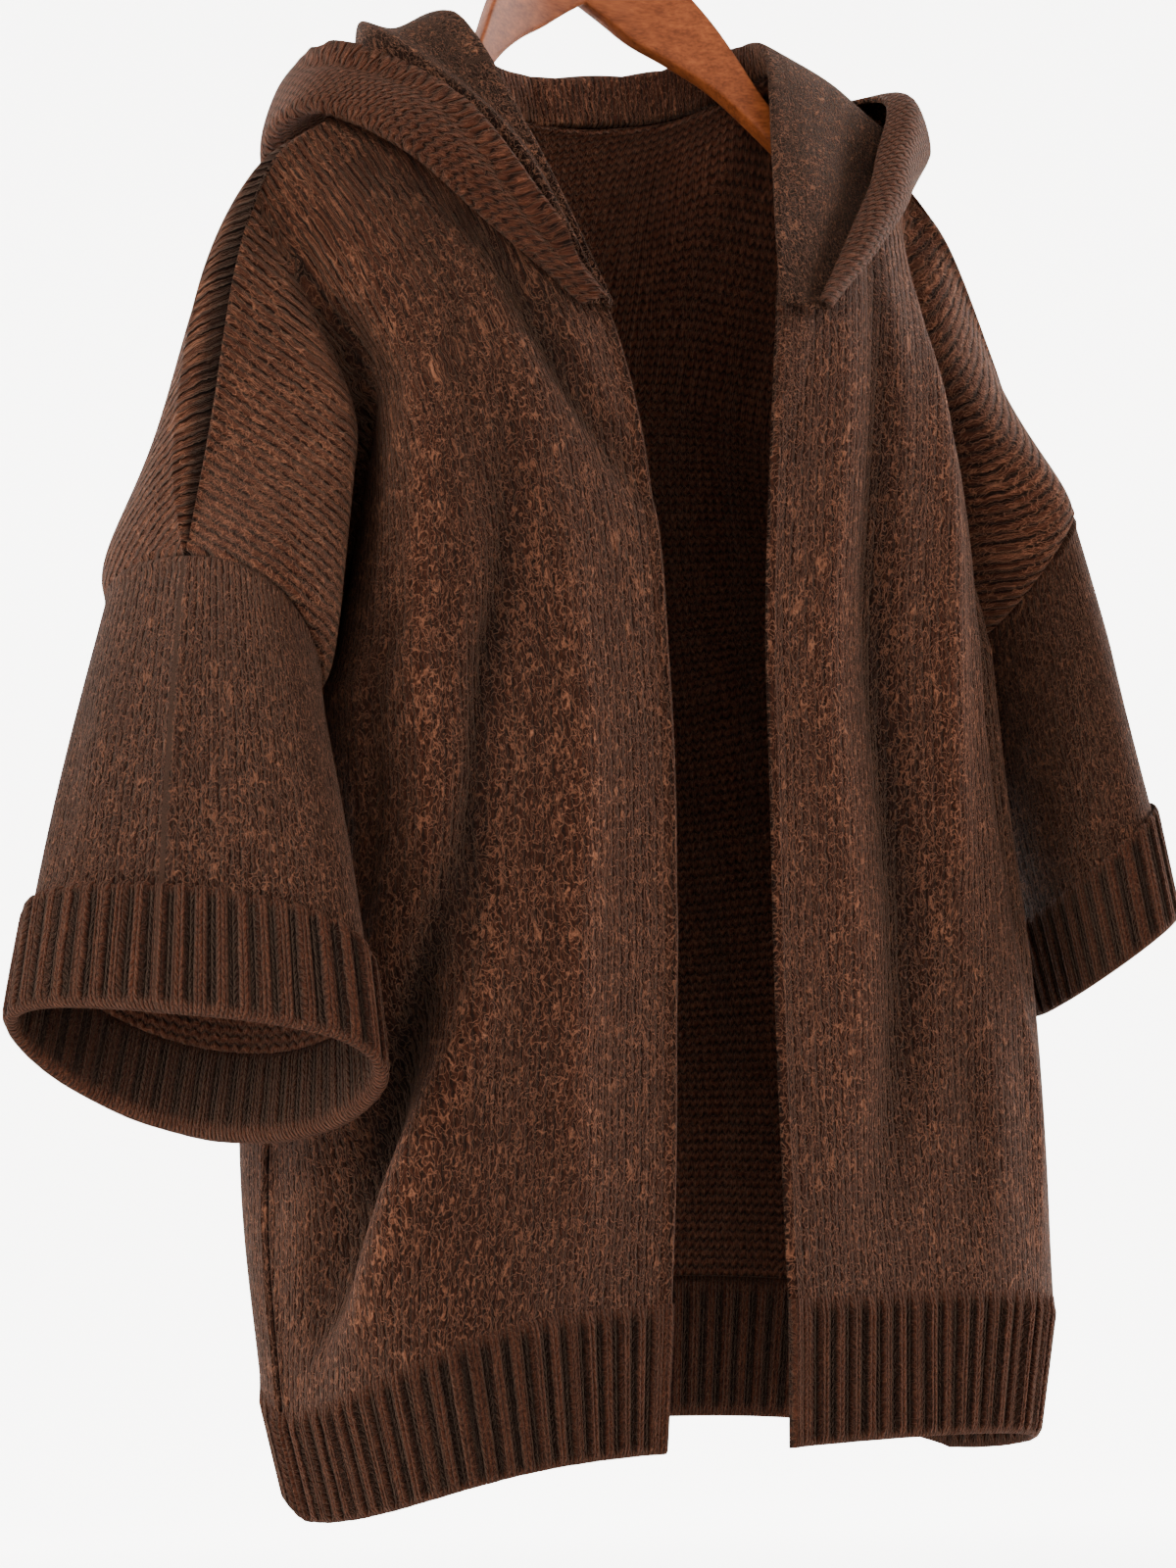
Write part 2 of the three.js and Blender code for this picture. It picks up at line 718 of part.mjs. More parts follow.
function frontHem(side) {
  return hem({
    top: (s) => frontPoint(side, s, 0),
    bottom: (s) => rounded(side.hemEdge, side.hemSide, s, hemShape, -1),
    columns: frontColumns(side, 0),
    inside: side.sign,
    first: false,
    last: true,
    trim: -SEAM_GAP,
  });
}

function backHem() {
  const bottom = (s) => {
    const side = s < 0 ? sides.right : sides.left;
    return rounded(hemCentreBack, side.hemSide, Math.abs(s), backHemShape, BACK_FULLNESS);
  };
  return hem({
    top: (a) => backPoint(2 * a - 1, 0),
    bottom: (a) => bottom(2 * a - 1),
    columns: backColumns(0).map((s) => (s + 1) / 2),
    inside: -1,
    first: true,
    last: true,
    trim: SEAM_GAP,
  });
}

// The hood lies down behind the neck. p runs from its front corner (0) past the shoulder
// (0.6) to the centre back (1). Each row gives where its seam is, how its section leans
// (90 is upright) and turns (90 faces back), then the section's points as out and up.
const hoodSeams = {
  right: track("p x y z lean turn", [
    [0, -69, -88, 574, 8, 0],
    [0.2, -77, -72, 612, 20, 0],
    [0.4, -90, -46, 662, 42, 0],
    [0.6, -103, -3, 729, 84, 8],
    [0.72, -94, 26, 725, 90, 35],
    [0.86, -60, 56, 717, 90, 66],
    [1, 0, 73, 713.5, 90, 90],
  ]),
  left: track("p x y z lean turn", [
    [0, 37, -90, 585, 8, 0],
    [0.2, 52, -74, 622, 20, 0],
    [0.4, 74, -46, 670, 42, 0],
    [0.6, 103, -3, 736, 84, 8],
    [0.72, 94, 26, 730, 90, 35],
    [0.86, 60, 56, 719, 90, 66],
    [1, 0, 73, 713.5, 90, 90],
  ]),
};
const hoodColumns =
  "p rollOut rollUp dipOut dipUp ridgeOut ridgeUp grooveOut grooveUp " +
  "foldOut foldUp topOut topUp endOut endUp";
const hoodSections = {
  right: track(hoodColumns, [
    [0, 4, 5, 6, 6, 9, 8, 12, 5, 20, 4, 17, 9, 13, 10],
    [0.2, 8, 9, 12, 7, 17, 11, 27, 2, 54, 2, 42, 14, 28, 8],
    [0.4, 4, 10, 13, 7, 25, 13, 38, -2, 76, -6, 60, 14, 43, 4],
    [0.6, 2, 11, 31, -1, 50, -2, 58, -30, 88, -50, 72, -24, 60, -21],
    [0.72, 11, 17, 25, 10, 41, 12, 52, -34, 92, -60, 82, -14, 60, -8],
    [0.86, 6, 25, 20, 4, 36, -52, 50, -120, 88, -124, 98, -52, 72, 0],
    [1, 8, 26, 20, 2, 36, -90, 48, -186, 82, -192, 98, -90, 66, 4],
  ]),
  left: track(hoodColumns, [
    [0, -5, 5, 4, 7, 9, 7, 13, 4, 23, 4, 20, 9, 14, 10],
    [0.2, -13, 9, 2, 11, 14, 9, 31, 2, 55, 4, 46, 14, 33, 11],
    [0.4, -13, 10, 6, 14, 26, 11, 52, -4, 86, -8, 74, 12, 58, 8],
    [0.6, -9, 13, 16, 9, 42, 1, 76, -18, 112, -34, 98, -2, 80, -6],
    [0.72, 3, 24, 16, 16, 38, 0, 64, -42, 104, -56, 94, -10, 70, -4],
    [0.86, 6, 26, 20, 6, 36, -52, 52, -122, 90, -126, 98, -52, 72, 2],
    [1, 8, 26, 20, 2, 36, -90, 48, -186, 82, -192, 98, -90, 66, 4],
  ]),
};

function hoodPoint(key, p, q) {
  const { sign } = sides[key];
  const at = hoodSeams[key](p);
  const lean = THREE.MathUtils.degToRad(at.lean);
  const turn = THREE.MathUtils.degToRad(at.turn);
  const up = point(0, -Math.cos(lean), Math.sin(lean));
  const out = point(sign * Math.cos(turn), Math.sin(turn), 0);
  out.addScaledVector(up, -out.dot(up)).normalize();
  const c = hoodSections[key](p);
  const profile = track("q out up", [
    [0, 0, 0],
    [0.12, c.rollOut, c.rollUp],
    [0.26, c.dipOut, c.dipUp],
    [0.4, c.ridgeOut, c.ridgeUp],
    [0.58, c.grooveOut, c.grooveUp],
    [0.72, c.foldOut, c.foldUp],
    [0.88, c.topOut, c.topUp],
    [1, c.endOut, c.endUp],
  ])(q);
  const lift = profile.up + HOOD_LIFT;
  return vec(at).addScaledVector(out, profile.out).addScaledVector(up, lift);
}

function hoodHalf(key) {
  const surface = (q, p) => hoodPoint(key, p, q);
  const across = [0, 0.06, 0.12, 0.19, 0.26, 0.33, 0.4, 0.49, 0.58, 0.65, 0.72, 0.8, 0.88, 1];
  const along = steps(18);
  const outer = [];
  const inner = [];
  for (const p of along) {
    const outerRow = [];
    const innerRow = [];
    for (const q of across) {
      const made = surface(q, p);
      const inward = inwardOf(surface, q, p, -sides[key].sign);
      if (p === 1) inward.x = 0;
      if (p === 1) made.x = sides[key].sign * SEAM_GAP;
      outerRow.push(made);
      innerRow.push(made.clone().addScaledVector(inward.normalize(), WALL));
    }
    outer.push(outerRow);
    inner.push(innerRow);
  }
  return shell(outer, inner, false);
}

// The hanger: one half's sections from the middle outwards.
const hangerRows = track("x y top bottom thick", [
  [0, HANGER_Y, HANGER_TOP, 769, 13],
  [14, 29, 828, 761, 13],
  [30, 27, 810, 751, 13],
  [50, 20, 789, 740, 12.5],
  [72, 9, 760, 724, 12],
  [95, -2, 721, 700, 11],
  [125, -1, 699, 678, 10],
  [160, 0, 675, 657, 9],
  [185, 1, 656, 642, 8],
  [HANGER_HALF, 1, 647, 637, 7],
]);
function hangerBody() {
  const half = steps(17).map((u) => HANGER_HALF * u ** 1.25);
  const places = [...half.slice(1).reverse().map((x) => -x), ...half];
  const stations = places.map((x) => {
    const { y, top, bottom, thick: across } = hangerRows(Math.abs(x));
    const thick = across / 2;
    const bevel = across / 4;
    return [
      point(x, y - thick, bottom + bevel),
      point(x, y - thick, top - bevel),
      point(x, y - thick + bevel, top),
      point(x, y + thick - bevel, top),
      point(x, y + thick, top - bevel),
      point(x, y + thick, bottom + bevel),
      point(x, y + thick - bevel, bottom),
      point(x, y - thick + bevel, bottom),
    ];
  });
  return loft(stations, false);
}

function circleShape(radius, count) {
  const made = new THREE.Shape();
  steps(count).slice(0, -1).forEach((u, i) => {
    const x = radius * Math.cos(u * 2 * Math.PI);
    const y = radius * Math.sin(u * 2 * Math.PI);
    if (i === 0) made.moveTo(x, y);
    else made.lineTo(x, y);
  });
  return made;
}

const HOOK_TOP = HANGER_TOP + HOOK_STEM + 2 * HOOK_RADIUS;

function hangerHook() {
  const middle = HANGER_TOP + HOOK_STEM + HOOK_RADIUS;
  const arc = steps(16, -90, HOOK_MOUTH).map((degrees) => {
    const a = THREE.MathUtils.degToRad(degrees);
    return point(-HOOK_RADIUS * Math.cos(a), HANGER_Y, middle + HOOK_RADIUS * Math.sin(a));
  });
  const path = new THREE.CatmullRomCurve3([
    point(0, HANGER_Y, HANGER_TOP + SEAM_GAP),
    point(0, HANGER_Y, HANGER_TOP + 0.64 * HOOK_STEM),
    ...arc.slice(1),
  ]);
  return new THREE.ExtrudeGeometry(circleShape(WIRE / 2, 8), {
    steps: 44,
    bevelEnabled: false,
    extrudePath: path,
  });
}

const knit = () =>
  new THREE.MeshStandardMaterial({ color: 0x4a2c1e, roughness: 0.95, metalness: 0 });
const wood = () =>
  new THREE.MeshStandardMaterial({ color: 0x7a3b1c, roughness: 0.35, metalness: 0 });
const steel = () =>
  new THREE.MeshStandardMaterial({ color: 0xb9bcc0, roughness: 0.25, metalness: 1 });

function piece(name, geometry, material) {
  const made = new THREE.Mesh(geometry, material);
  made.name = name;
  return made;
}

const garment = new THREE.Group();
for (const [key, side] of Object.entries(sides)) {
  garment.add(piece("front_" + key, frontPanel(side), knit()));
  garment.add(piece("hem_rib_" + key, frontHem(side), knit()));
  garment.add(piece("sleeve_" + key, sleeve(side), knit()));
  garment.add(piece("cuff_" + key, cuff(side), knit()));
  garment.add(piece("hood_" + key, hoodHalf(key), knit()));
}
garment.add(piece("turned_edge_left", turnedEdge(sides.left), knit()));
garment.add(piece("back", backPanel(), knit()));
garment.add(piece("hem_rib_back", backHem(), knit()));
garment.add(piece("hanger_body", hangerBody(), wood()));
garment.add(piece("hanger_hook", hangerHook(), steel()));
garment.position.set(0, -HANGER_Y, -(HOOK_TOP - WIRE / 2));

const cardigan = new THREE.Group();
cardigan.add(garment);

export default cardigan;
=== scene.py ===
"""An open-front hooded cardigan in brushed wool knit, filled out on a wooden coat hanger.

The cloth follows the same tables as the solids, in millimetres from the hem's level, and is
made here with finer grids, rolled edges, round ribs, small folds and knitted surfaces.
"""

import math
from types import SimpleNamespace

import bpy
import numpy as np
from mathutils import Matrix, Vector


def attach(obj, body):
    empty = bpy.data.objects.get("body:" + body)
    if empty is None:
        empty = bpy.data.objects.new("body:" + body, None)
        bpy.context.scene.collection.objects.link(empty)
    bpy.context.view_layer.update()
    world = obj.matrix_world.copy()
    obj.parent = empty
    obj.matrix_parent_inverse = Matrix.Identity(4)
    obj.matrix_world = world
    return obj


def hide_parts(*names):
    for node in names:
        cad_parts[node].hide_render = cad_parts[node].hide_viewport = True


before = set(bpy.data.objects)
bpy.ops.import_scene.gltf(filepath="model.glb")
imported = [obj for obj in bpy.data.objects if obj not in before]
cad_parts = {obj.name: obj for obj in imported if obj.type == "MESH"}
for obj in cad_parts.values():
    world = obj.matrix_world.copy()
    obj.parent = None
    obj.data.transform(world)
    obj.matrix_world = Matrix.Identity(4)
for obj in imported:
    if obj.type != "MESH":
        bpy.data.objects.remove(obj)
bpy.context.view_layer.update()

# Sizes in millimetres, angles in degrees, and places as shares of a panel or of a sleeve.
# The cloth's wall, the gap at its seams, its rounded edges, and the steps of its grids.
WALL, SEAM_GAP, EDGE_DROP, ROUNDED = 3.0, 0.3, 2.4, 2.0
ROW_STEP, FRONT_STEP, BACK_STEP, SLEEVE_STEP, HEM_STEP = 4.6, 3.1, 3.2, 3.6, 4.0
TURNED = 2e-3  # a small step of a share, for slopes
# Ribs. NO_EDGE is farther from a front edge than its rolled line reaches.
RIB_RISE, RIB_SAMPLES, HEM_PITCH, NO_EDGE = 2.6, 12, 10.4, 50.0
# Cuffs, turned back over the sleeve's end.
CUFF_RIBS, CUFF_LAYER, CUFF_STEP = 43, 4.0, 1.0
CUFF_EDGE, CUFF_TOP, CUFF_RIM = 0.018, 0.735, 0.016
SLEEVE_END, SLEEVE_SWELL = 0.8, 0.05
# Panels: where the arm, the neck and the shoulder start, and how full the cloth hangs there.
ARM_START, NECK_SHARE, SHOULDER_BLEND = 0.56, 0.3, 0.84
ARM_FULLNESS, BACK_FULLNESS, SIDE_SETTLE = 14.0, 0.35, 0.12
BACK_ARM, BACK_ARM_WAY = 24.0, 37.0
# The crease that the arm hangs against.
CREASE_LEAN, PARTING, ARM_LEAD, BACK_CREASE = 0.35, 22.0, 0.04, 0.4
ARM_CREASE, ARM_CREASE_WIDE, CREASE_TOP = 8.0, 0.035, 0.9
# The slant of the wales at the shoulder seam, and the seam's slope in the cut.
SEAM_SLANT, TOP_SLOPE = 58.0, 0.14
# The turned-back strip of the left front edge, and the hood's seam and grid.
STRIP_START, STRIP_END, TURNBACK = 0.71, 0.795, 3.0
HOOD_LIFT, HOOD_SINK, HOOD_ROWS, HOOD_COLUMNS = 2.2, -0.8, 131, 84
# The hanger. SQUARED is the power that rounds its section's corners.
WIRE, HOOK_RADIUS, HOOK_STEM, HOOK_MOUTH = 3.6, 21.0, 22.0, 140.0
HANGER_TOP, HANGER_Y, HANGER_HALF, SQUARED = 832.0, 30.0, 196.0, 0.3
HOOK_TOP = HANGER_TOP + HOOK_STEM + 2 * HOOK_RADIUS
SHIFT = np.array([0.0, -HANGER_Y, -(HOOK_TOP - WIRE / 2)])

# Painted shade in the wool's colour: how much darker it is painted in a fold this deep, and how
# much lighter on a ridge as a painted highlight, inside a cuff and on a sleeve, and how far the
# painted shade darkens the tone.
PAINTED_FOLD_TONE, FOLD_FULL, RIDGE_FULL = 0.85, 10.0, -0.45
PAINTED_INSIDE_SHADE, PAINTED_SLEEVE_SHADE, PAINTED_SHADE_TONE = 0.6, 0.15, 0.9


def metres(points):
    return (np.asarray(points, float) + SHIFT) / 1000


def track(rows):
    """Cubic interpolation through the rows of a table, its first column being the place."""
    table = np.array(rows, float)
    at, values = table[:, 0], table[:, 1:]
    rise = np.diff(values, axis=0) / np.diff(at)[:, None]
    slope = np.empty_like(values)
    slope[0], slope[-1] = rise[0], rise[-1]
    before, after = np.diff(at)[:-1, None], np.diff(at)[1:, None]
    slope[1:-1] = (rise[:-1] * after + rise[1:] * before) / (before + after)

    def read(t):
        t = np.clip(np.asarray(t, float), at[0], at[-1])
        i = np.clip(np.searchsorted(at, t, side="right") - 1, 0, len(at) - 2)
        span = (at[i + 1] - at[i])[..., None]
        u = (t - at[i])[..., None] / span
        return (
            (2 * u**3 - 3 * u**2 + 1) * values[i]
            + (u**3 - 2 * u**2 + u) * span * slope[i]
            + (3 * u**2 - 2 * u**3) * values[i + 1]
            + (u**3 - u**2) * span * slope[i + 1]
        )

    return read


def smooth(low, high, t):
    u = np.clip((np.asarray(t, float) - low) / (high - low), 0, 1)
    return u * u * (3 - 2 * u)


def mix(a, b, share):
    return a + (b - a) * share


def unit(v):
    return v / (np.linalg.norm(v, axis=-1, keepdims=True) + 1e-12)


def hump(s, centre, width):
    return np.exp(-2 * ((s - centre) / width) ** 2)


def ring_point(ring, angle):
    out, front, under, back = (np.array(ring[key], float) for key in RING)
    angle = np.asarray(angle, float)[..., None]
    centre = (out + front + under + back) / 4
    across, along = (out - under) / 2, (front - back) / 2
    lift = (out + under - front - back) / 4
    return centre + across * np.cos(angle) + along * np.sin(angle) + lift * np.cos(2 * angle)


RING = ("out", "front", "under", "back")


right, left = SimpleNamespace(), SimpleNamespace()
right.key, right.sign = "right", -1.0
right.front_edge = track([  # t x y z
    [0, -71, -120, 79], [0.15, -63, -116, 150], [0.3, -57, -112, 240],
    [0.45, -53, -110, 333], [0.56, -53, -107, 400], [0.68, -56, -103, 475],
    [0.8, -68, -86, 572], [0.9, -88, -50, 655], [1, -104, -5, 728],
])
right.side_seam = track([
    [0, -220, 5, 30], [0.15, -217, 20, 120], [0.3, -214, 16, 220],
    [0.45, -216, 4, 310], [0.56, -223, -8, 372],
])
right.shoulder = track([
    [0, -104, -5, 728], [0.25, -174, 0, 681], [0.44, -218, -2, 648],
    [0.57, -241, -10, 600], [0.74, -263, -20, 517], [1, -283, -30, 445],
])
right.armhole = dict(out=(-283, -30, 445), front=(-254, -90, 408),
                     under=(-223, -8, 372), back=(-275, 58, 425))
right.cuff = dict(out=(-303, -32, 225), front=(-237, -119, 196),
                  under=(-252, 0, 164), back=(-330, 66, 216))
right.hem_edge = np.array([-78.0, -120, 7])
right.hem_side = np.array([-203.0, 10, -25])
right.crease = track([  # t s depth width
    [0.25, 0.86, 0, 0.1], [0.42, 0.87, 5, 0.09], [0.56, 0.87, 19, 0.08],
    [0.68, 0.8, 38, 0.07], [0.8, 0.69, 46, 0.07], [0.9, 0.58, 16, 0.08], [1, 0.46, 0, 0.09],
])
right.chest = track([  # t x y
    [0.56, -223, -8], [0.68, -218, -4], [0.8, -210, 0], [0.9, -202, -8], [1, -200, -12],
])
right.folds = [  # low high from to width depth
    (1.2, 0.32, -0.06, 0.46, 0.26, 12),
    (1.08, 0.08, -0.04, 0.36, 0.28, -6),
    (0.3, 0.36, 0.1, 0.9, 0.13, 5),
]
left.key, left.sign = "left", 1.0
left.front_edge = track([
    [0, 1, -120, 77], [0.15, 2, -116, 150], [0.3, 4, -112, 235],
    [0.45, 6, -110, 333], [0.56, 7, -109, 410], [0.68, 14, -106, 485],
    [0.8, 36, -88, 583], [0.9, 70, -50, 660], [1, 104, -5, 735],
])
left.side_seam = track([
    [0, 222, 0, 55], [0.15, 224, 8, 130], [0.3, 220, 8, 230],
    [0.45, 210, 2, 330], [0.56, 208, -2, 418],
])
left.shoulder = track([
    [0, 104, -5, 735], [0.25, 155, -3, 709], [0.44, 196, -8, 684],
    [0.57, 214, -16, 655], [0.74, 234, -24, 592], [1, 260, -30, 500],
])
left.armhole = dict(out=(260, -30, 500), front=(227, -85, 470),
                    under=(208, -2, 418), back=(243, 57, 479))
left.cuff = dict(out=(324, -53, 271), front=(241, -133, 253),
                 under=(266, -12, 218), back=(363, 45, 257))
left.hem_edge = np.array([-2.0, -120, 4])
left.hem_side = np.array([206.0, 4, -19])
left.crease = track([
    [0.25, 0.86, 0, 0.1], [0.42, 0.87, 4, 0.09], [0.56, 0.86, 15, 0.09],
    [0.68, 0.78, 28, 0.085], [0.8, 0.65, 36, 0.08], [0.9, 0.54, 14, 0.085], [1, 0.46, 0, 0.09],
])
left.chest = track([
    [0.56, 208, -2], [0.68, 200, 0], [0.8, 192, -2], [0.9, 190, -12], [1, 194, -16],
])
left.folds = [
    (0.12, 0.27, -0.2, 0.9, 0.16, 8),
    (0.86, 0.8, -0.2, 0.5, 0.1, 7),
]
row_shape = track([  # t across forward height fullness
    [0, 0.62, 0.55, 1, 6], [0.42, 0.72, 0.6, 1, 12], [0.56, 0.86, 0.74, 1, 14],
    [0.8, 0.9, 0.85, 1.05, 16], [0.9, 0.95, 0.95, 1.1, 12], [1, 1, 1, 1.15, 0],
])
back_shape = track([
    [0, 0.9, 0.86, 1, 6], [0.15, 0.76, 0.7, 1, 8], [0.3, 0.69, 0.6, 1, 10],
    [0.42, 0.72, 0.6, 1, 12], [0.56, 0.86, 0.74, 1, 14], [0.8, 0.9, 0.85, 1.05, 16],
    [0.9, 0.95, 0.95, 1.1, 12], [1, 1, 1, 1.15, 0],
])
HEM_SHAPE = (0.62, 0.55, 1.0, 6.0)
BACK_HEM_SHAPE = (0.9, 0.86, 1.0, 6.0)
centre_back = track([
    [0, 0, 101, 80], [0.3, 0, 108, 240], [0.56, 0, 107, 410],
    [0.8, 0, 98, 580], [0.92, 0, 86, 664], [1, 0, 72, 712],
])
back_neck = track([
    [0, 0, 72, 712], [0.4, 40, 66, 713], [0.75, 80, 40, 718], [1, 104, -5, 730],
])
HEM_CENTRE_BACK = np.array([0.0, 98, 3])


# Small creases that only the looks have, across (s) and up (t) a panel: each runs from one
# place to another with its width as a share of the row and its depth in millimetres.
SMALL_FRONT = {
    "right": [  # s0 t0 s1 t1 width depth
        (0.34, 0.93, 0.03, 0.67, 0.060, 9.0),
        (0.33, 0.80, 0.47, 0.28, 0.060, 8.5),
        (0.43, 0.46, 0.98, 0.03, 0.095, 12.0),
        (0.62, 0.66, 0.80, 0.34, 0.045, 4.0),
        (0.54, 0.92, 0.60, 0.34, 0.060, -6.0),
        (0.28, 0.38, 0.84, 0.03, 0.110, -8.5),
        (0.20, 0.70, 0.12, 0.03, 0.070, -5.5),
        (0.36, 0.97, 0.44, 0.66, 0.040, 3.6),
        (0.52, 0.98, 0.62, 0.80, 0.030, 2.6),
    ],
    "left": [
        (0.30, 0.95, 0.10, 0.04, 0.055, 8.5),
        (0.52, 0.97, 0.26, 0.20, 0.060, -6.0),
        (0.15, 0.82, 0.03, 0.06, 0.050, -4.5),
        (0.68, 0.92, 0.52, 0.25, 0.070, 8.0),
        (0.72, 0.60, 0.76, 0.10, 0.050, 4.6),
        (0.30, 0.40, 0.26, 0.02, 0.055, 3.4),
        (0.50, 0.34, 0.52, 0.02, 0.050, -3.2),
        (0.90, 0.60, 0.94, 0.30, 0.035, 2.6),
    ],
}
SMALL_BACK = [
    (-0.30, 0.90, -0.34, 0.35, 0.050, 4.6),
    (0.12, 0.76, 0.10, 0.10, 0.055, 4.2),
    (0.45, 0.95, 0.40, 0.30, 0.050, 5.0),
    (-0.62, 0.60, -0.52, 0.05, 0.050, 4.6),
    (0.70, 0.55, 0.66, 0.05, 0.050, 4.6),
    (-0.08, 0.56, -0.12, 0.02, 0.045, -3.2),
    (0.28, 0.46, 0.30, 0.02, 0.045, 3.4),
    (-0.80, 0.80, -0.72, 0.45, 0.035, 3.4),
    (0.84, 0.82, 0.78, 0.50, 0.035, 3.2),
]


def small_creases(table, s, t):
    """How far the cloth is pushed in by the small creases."""
    sunk = np.zeros(np.broadcast(s, t).shape)
    for s0, t0, s1, t1, width, depth in table:
        along = (t - t0) / (t1 - t0)
        centre = mix(s0, s1, along) + 0.012 * np.sin(9 * along + 7 * s0)
        ends = np.sin(np.pi * np.clip(along, 0, 1)) ** 0.8
        sunk += depth * ends * hump(s, centre, width)
    return sunk


def arm_creases(side, s, t):
    """How far the cloth is pushed in beside the arm crease, where the arm hangs against it."""
    along = smooth(ARM_START, 0.64, t) * smooth(0.95, 0.86, t)
    return ARM_CREASE * along * hump(s, side.crease(t)[..., 0], ARM_CREASE_WIDE)


def painted_fold_shade(sunk):
    """Painted shade in a trough of a fold and a painted highlight on its ridge: the wool's colour
    is darker in the trough and lighter on the ridge.
    """
    return PAINTED_FOLD_TONE * np.clip(sunk / FOLD_FULL, RIDGE_FULL, 1)


def share(t):
    return np.clip((t - ARM_START) / (1 - ARM_START), 0, 1)


def outer_line(side, t, half):
    angle = np.pi * (1 - share(t))
    arm = ring_point(side.armhole, angle if half == "front" else -angle)
    return np.where((t <= ARM_START)[..., None], side.side_seam(t), arm)


def row_end(side, s, t, half):
    end = outer_line(side, t, half).copy()
    chest = side.chest(t)
    x, y = chest[..., 0], chest[..., 1]
    if half == "back":
        y = y + PARTING * share(t)
    arm = smooth(0, 1, (s - (side.crease(t)[..., 0] - ARM_LEAD))
                 / (1 - side.crease(t)[..., 0] + ARM_LEAD))
    above = t > ARM_START
    end[..., 0] = np.where(above, mix(x, end[..., 0], arm), end[..., 0])
    end[..., 1] = np.where(above, mix(y, end[..., 1], arm), end[..., 1])
    return end


def arm_swell(side, s, t, size, along):
    start = side.crease(t)[..., 0]
    across = np.sin(np.pi * np.clip((s - start) / (1 - start), 0, 1))
    return np.where((t > ARM_START) & (s > start), size * across * along, 0)


def arm_fullness(side, s, t):
    return arm_swell(side, s, t, ARM_FULLNESS, np.clip(np.sin(np.pi * share(t)), 0, 1) ** 1.3)


def back_arm(side, s, t):
    """How far the back of the arm stands out from its row."""
    way = math.radians(BACK_ARM_WAY)
    swell = arm_swell(side, s, t, BACK_ARM, np.clip(np.sin(np.pi * share(t) ** 3), 0, 1) ** 0.8)
    return np.stack([side.sign * math.sin(way) * swell, math.cos(way) * swell, 0 * swell], -1)


def rounded(start, end, s, shape, outward):
    across, forward, height, fullness = (
        (shape[..., k] for k in range(4)) if isinstance(shape, np.ndarray) else shape)
    turn = s * np.pi / 2
    cosine = np.clip(np.cos(turn), 0, 1)
    fuller = fullness * np.clip(np.sin(np.pi * s), 0, 1) ** 1.2 * outward
    made = np.empty(np.broadcast(s, start[..., 0]).shape + (3,))
    made[..., 0] = mix(start[..., 0], end[..., 0], np.sin(turn) ** across)
    made[..., 1] = end[..., 1] + (start[..., 1] - end[..., 1]) * cosine**forward + fuller
    made[..., 2] = end[..., 2] + (start[..., 2] - end[..., 2]) * cosine**height
    return made


def front_point(side, s, t):
    s, t = np.broadcast_arrays(np.asarray(s, float), np.asarray(t, float))
    row = rounded(side.front_edge(t), row_end(side, s, t, "front"), s, row_shape(t), -1)
    made = mix(row, side.shoulder(s), smooth(SHOULDER_BLEND, 1, t)[..., None])
    crease = side.crease(t)
    settle = smooth(0, SIDE_SETTLE, 1 - s)
    sunk = crease[..., 1] * hump(s, crease[..., 0], crease[..., 2]) * settle
    made[..., 1] += sunk - arm_fullness(side, s, t)
    made[..., 0] -= side.sign * CREASE_LEAN * sunk
    for low, high, start, stop, width, depth in side.folds:
        u = np.clip((t - start) / (stop - start), 0, 1)
        swell = np.sin(np.pi * u) ** 0.7 * settle
        push = depth * swell * hump(s, mix(low, high, u), width)
        turn = s * np.pi / 2
        made[..., 1] += push * np.cos(turn)
        made[..., 0] -= side.sign * push * np.sin(turn)
    return made


def back_top(side, s):
    beyond = side.shoulder(np.clip((s - NECK_SHARE) / (1 - NECK_SHARE), 0, 1))
    at = np.clip(s / NECK_SHARE, 0, 1)
    neck = back_neck(at)
    rise = side.shoulder(0)[2] - back_neck(1)[2]
    neck[..., 0] *= side.sign
    neck[..., 2] += rise * at**2
    return np.where((s >= NECK_SHARE)[..., None], beyond, neck)


def back_half(side, s, t):
    s, t = np.broadcast_arrays(np.asarray(s, float), np.asarray(t, float))
    row = rounded(centre_back(t), row_end(side, s, t, "back"), s, back_shape(t), BACK_FULLNESS)
    made = mix(row, back_top(side, s), smooth(SHOULDER_BLEND - 0.04, 1, t)[..., None])
    crease = side.crease(t)
    settle = smooth(0, SIDE_SETTLE, 1 - s)
    made[..., 1] -= BACK_CREASE * crease[..., 1] * hump(s, crease[..., 0], crease[..., 2]) * settle
    return made + back_arm(side, s, t)


def back_point(s, t):
    s, t = np.broadcast_arrays(np.asarray(s, float), np.asarray(t, float))
    away = np.abs(s)
    return np.where((s < 0)[..., None], back_half(right, away, t), back_half(left, away, t))


def ring_middle(ring):
    return (ring_point(ring, 0.0) + ring_point(ring, np.pi)) / 2


def sleeve_point(side, angle, along):
    angle, along = np.broadcast_arrays(np.asarray(angle, float), np.asarray(along, float))
    w = along[..., None]
    centre = mix(ring_middle(side.armhole), ring_middle(side.cuff), w)
    made = mix(ring_point(side.armhole, angle), ring_point(side.cuff, angle), w)
    return centre + (made - centre) * (1 + SLEEVE_SWELL * np.sin(np.pi * w))


def ring_centre(side, along):
    quarter = [sleeve_point(side, k * np.pi / 2, along) for k in range(4)]
    return sum(quarter) / 4


def arm_centre(side):
    return sum(np.array(side.armhole[key], float) for key in RING) / 4


# Grids: places at even lengths along a line, closer together by its ends.
EDGE_PLACES = (0.0, 0.35, 0.8, 1.4, 2.2, 3.2, 4.4, 6.0, 8.0)


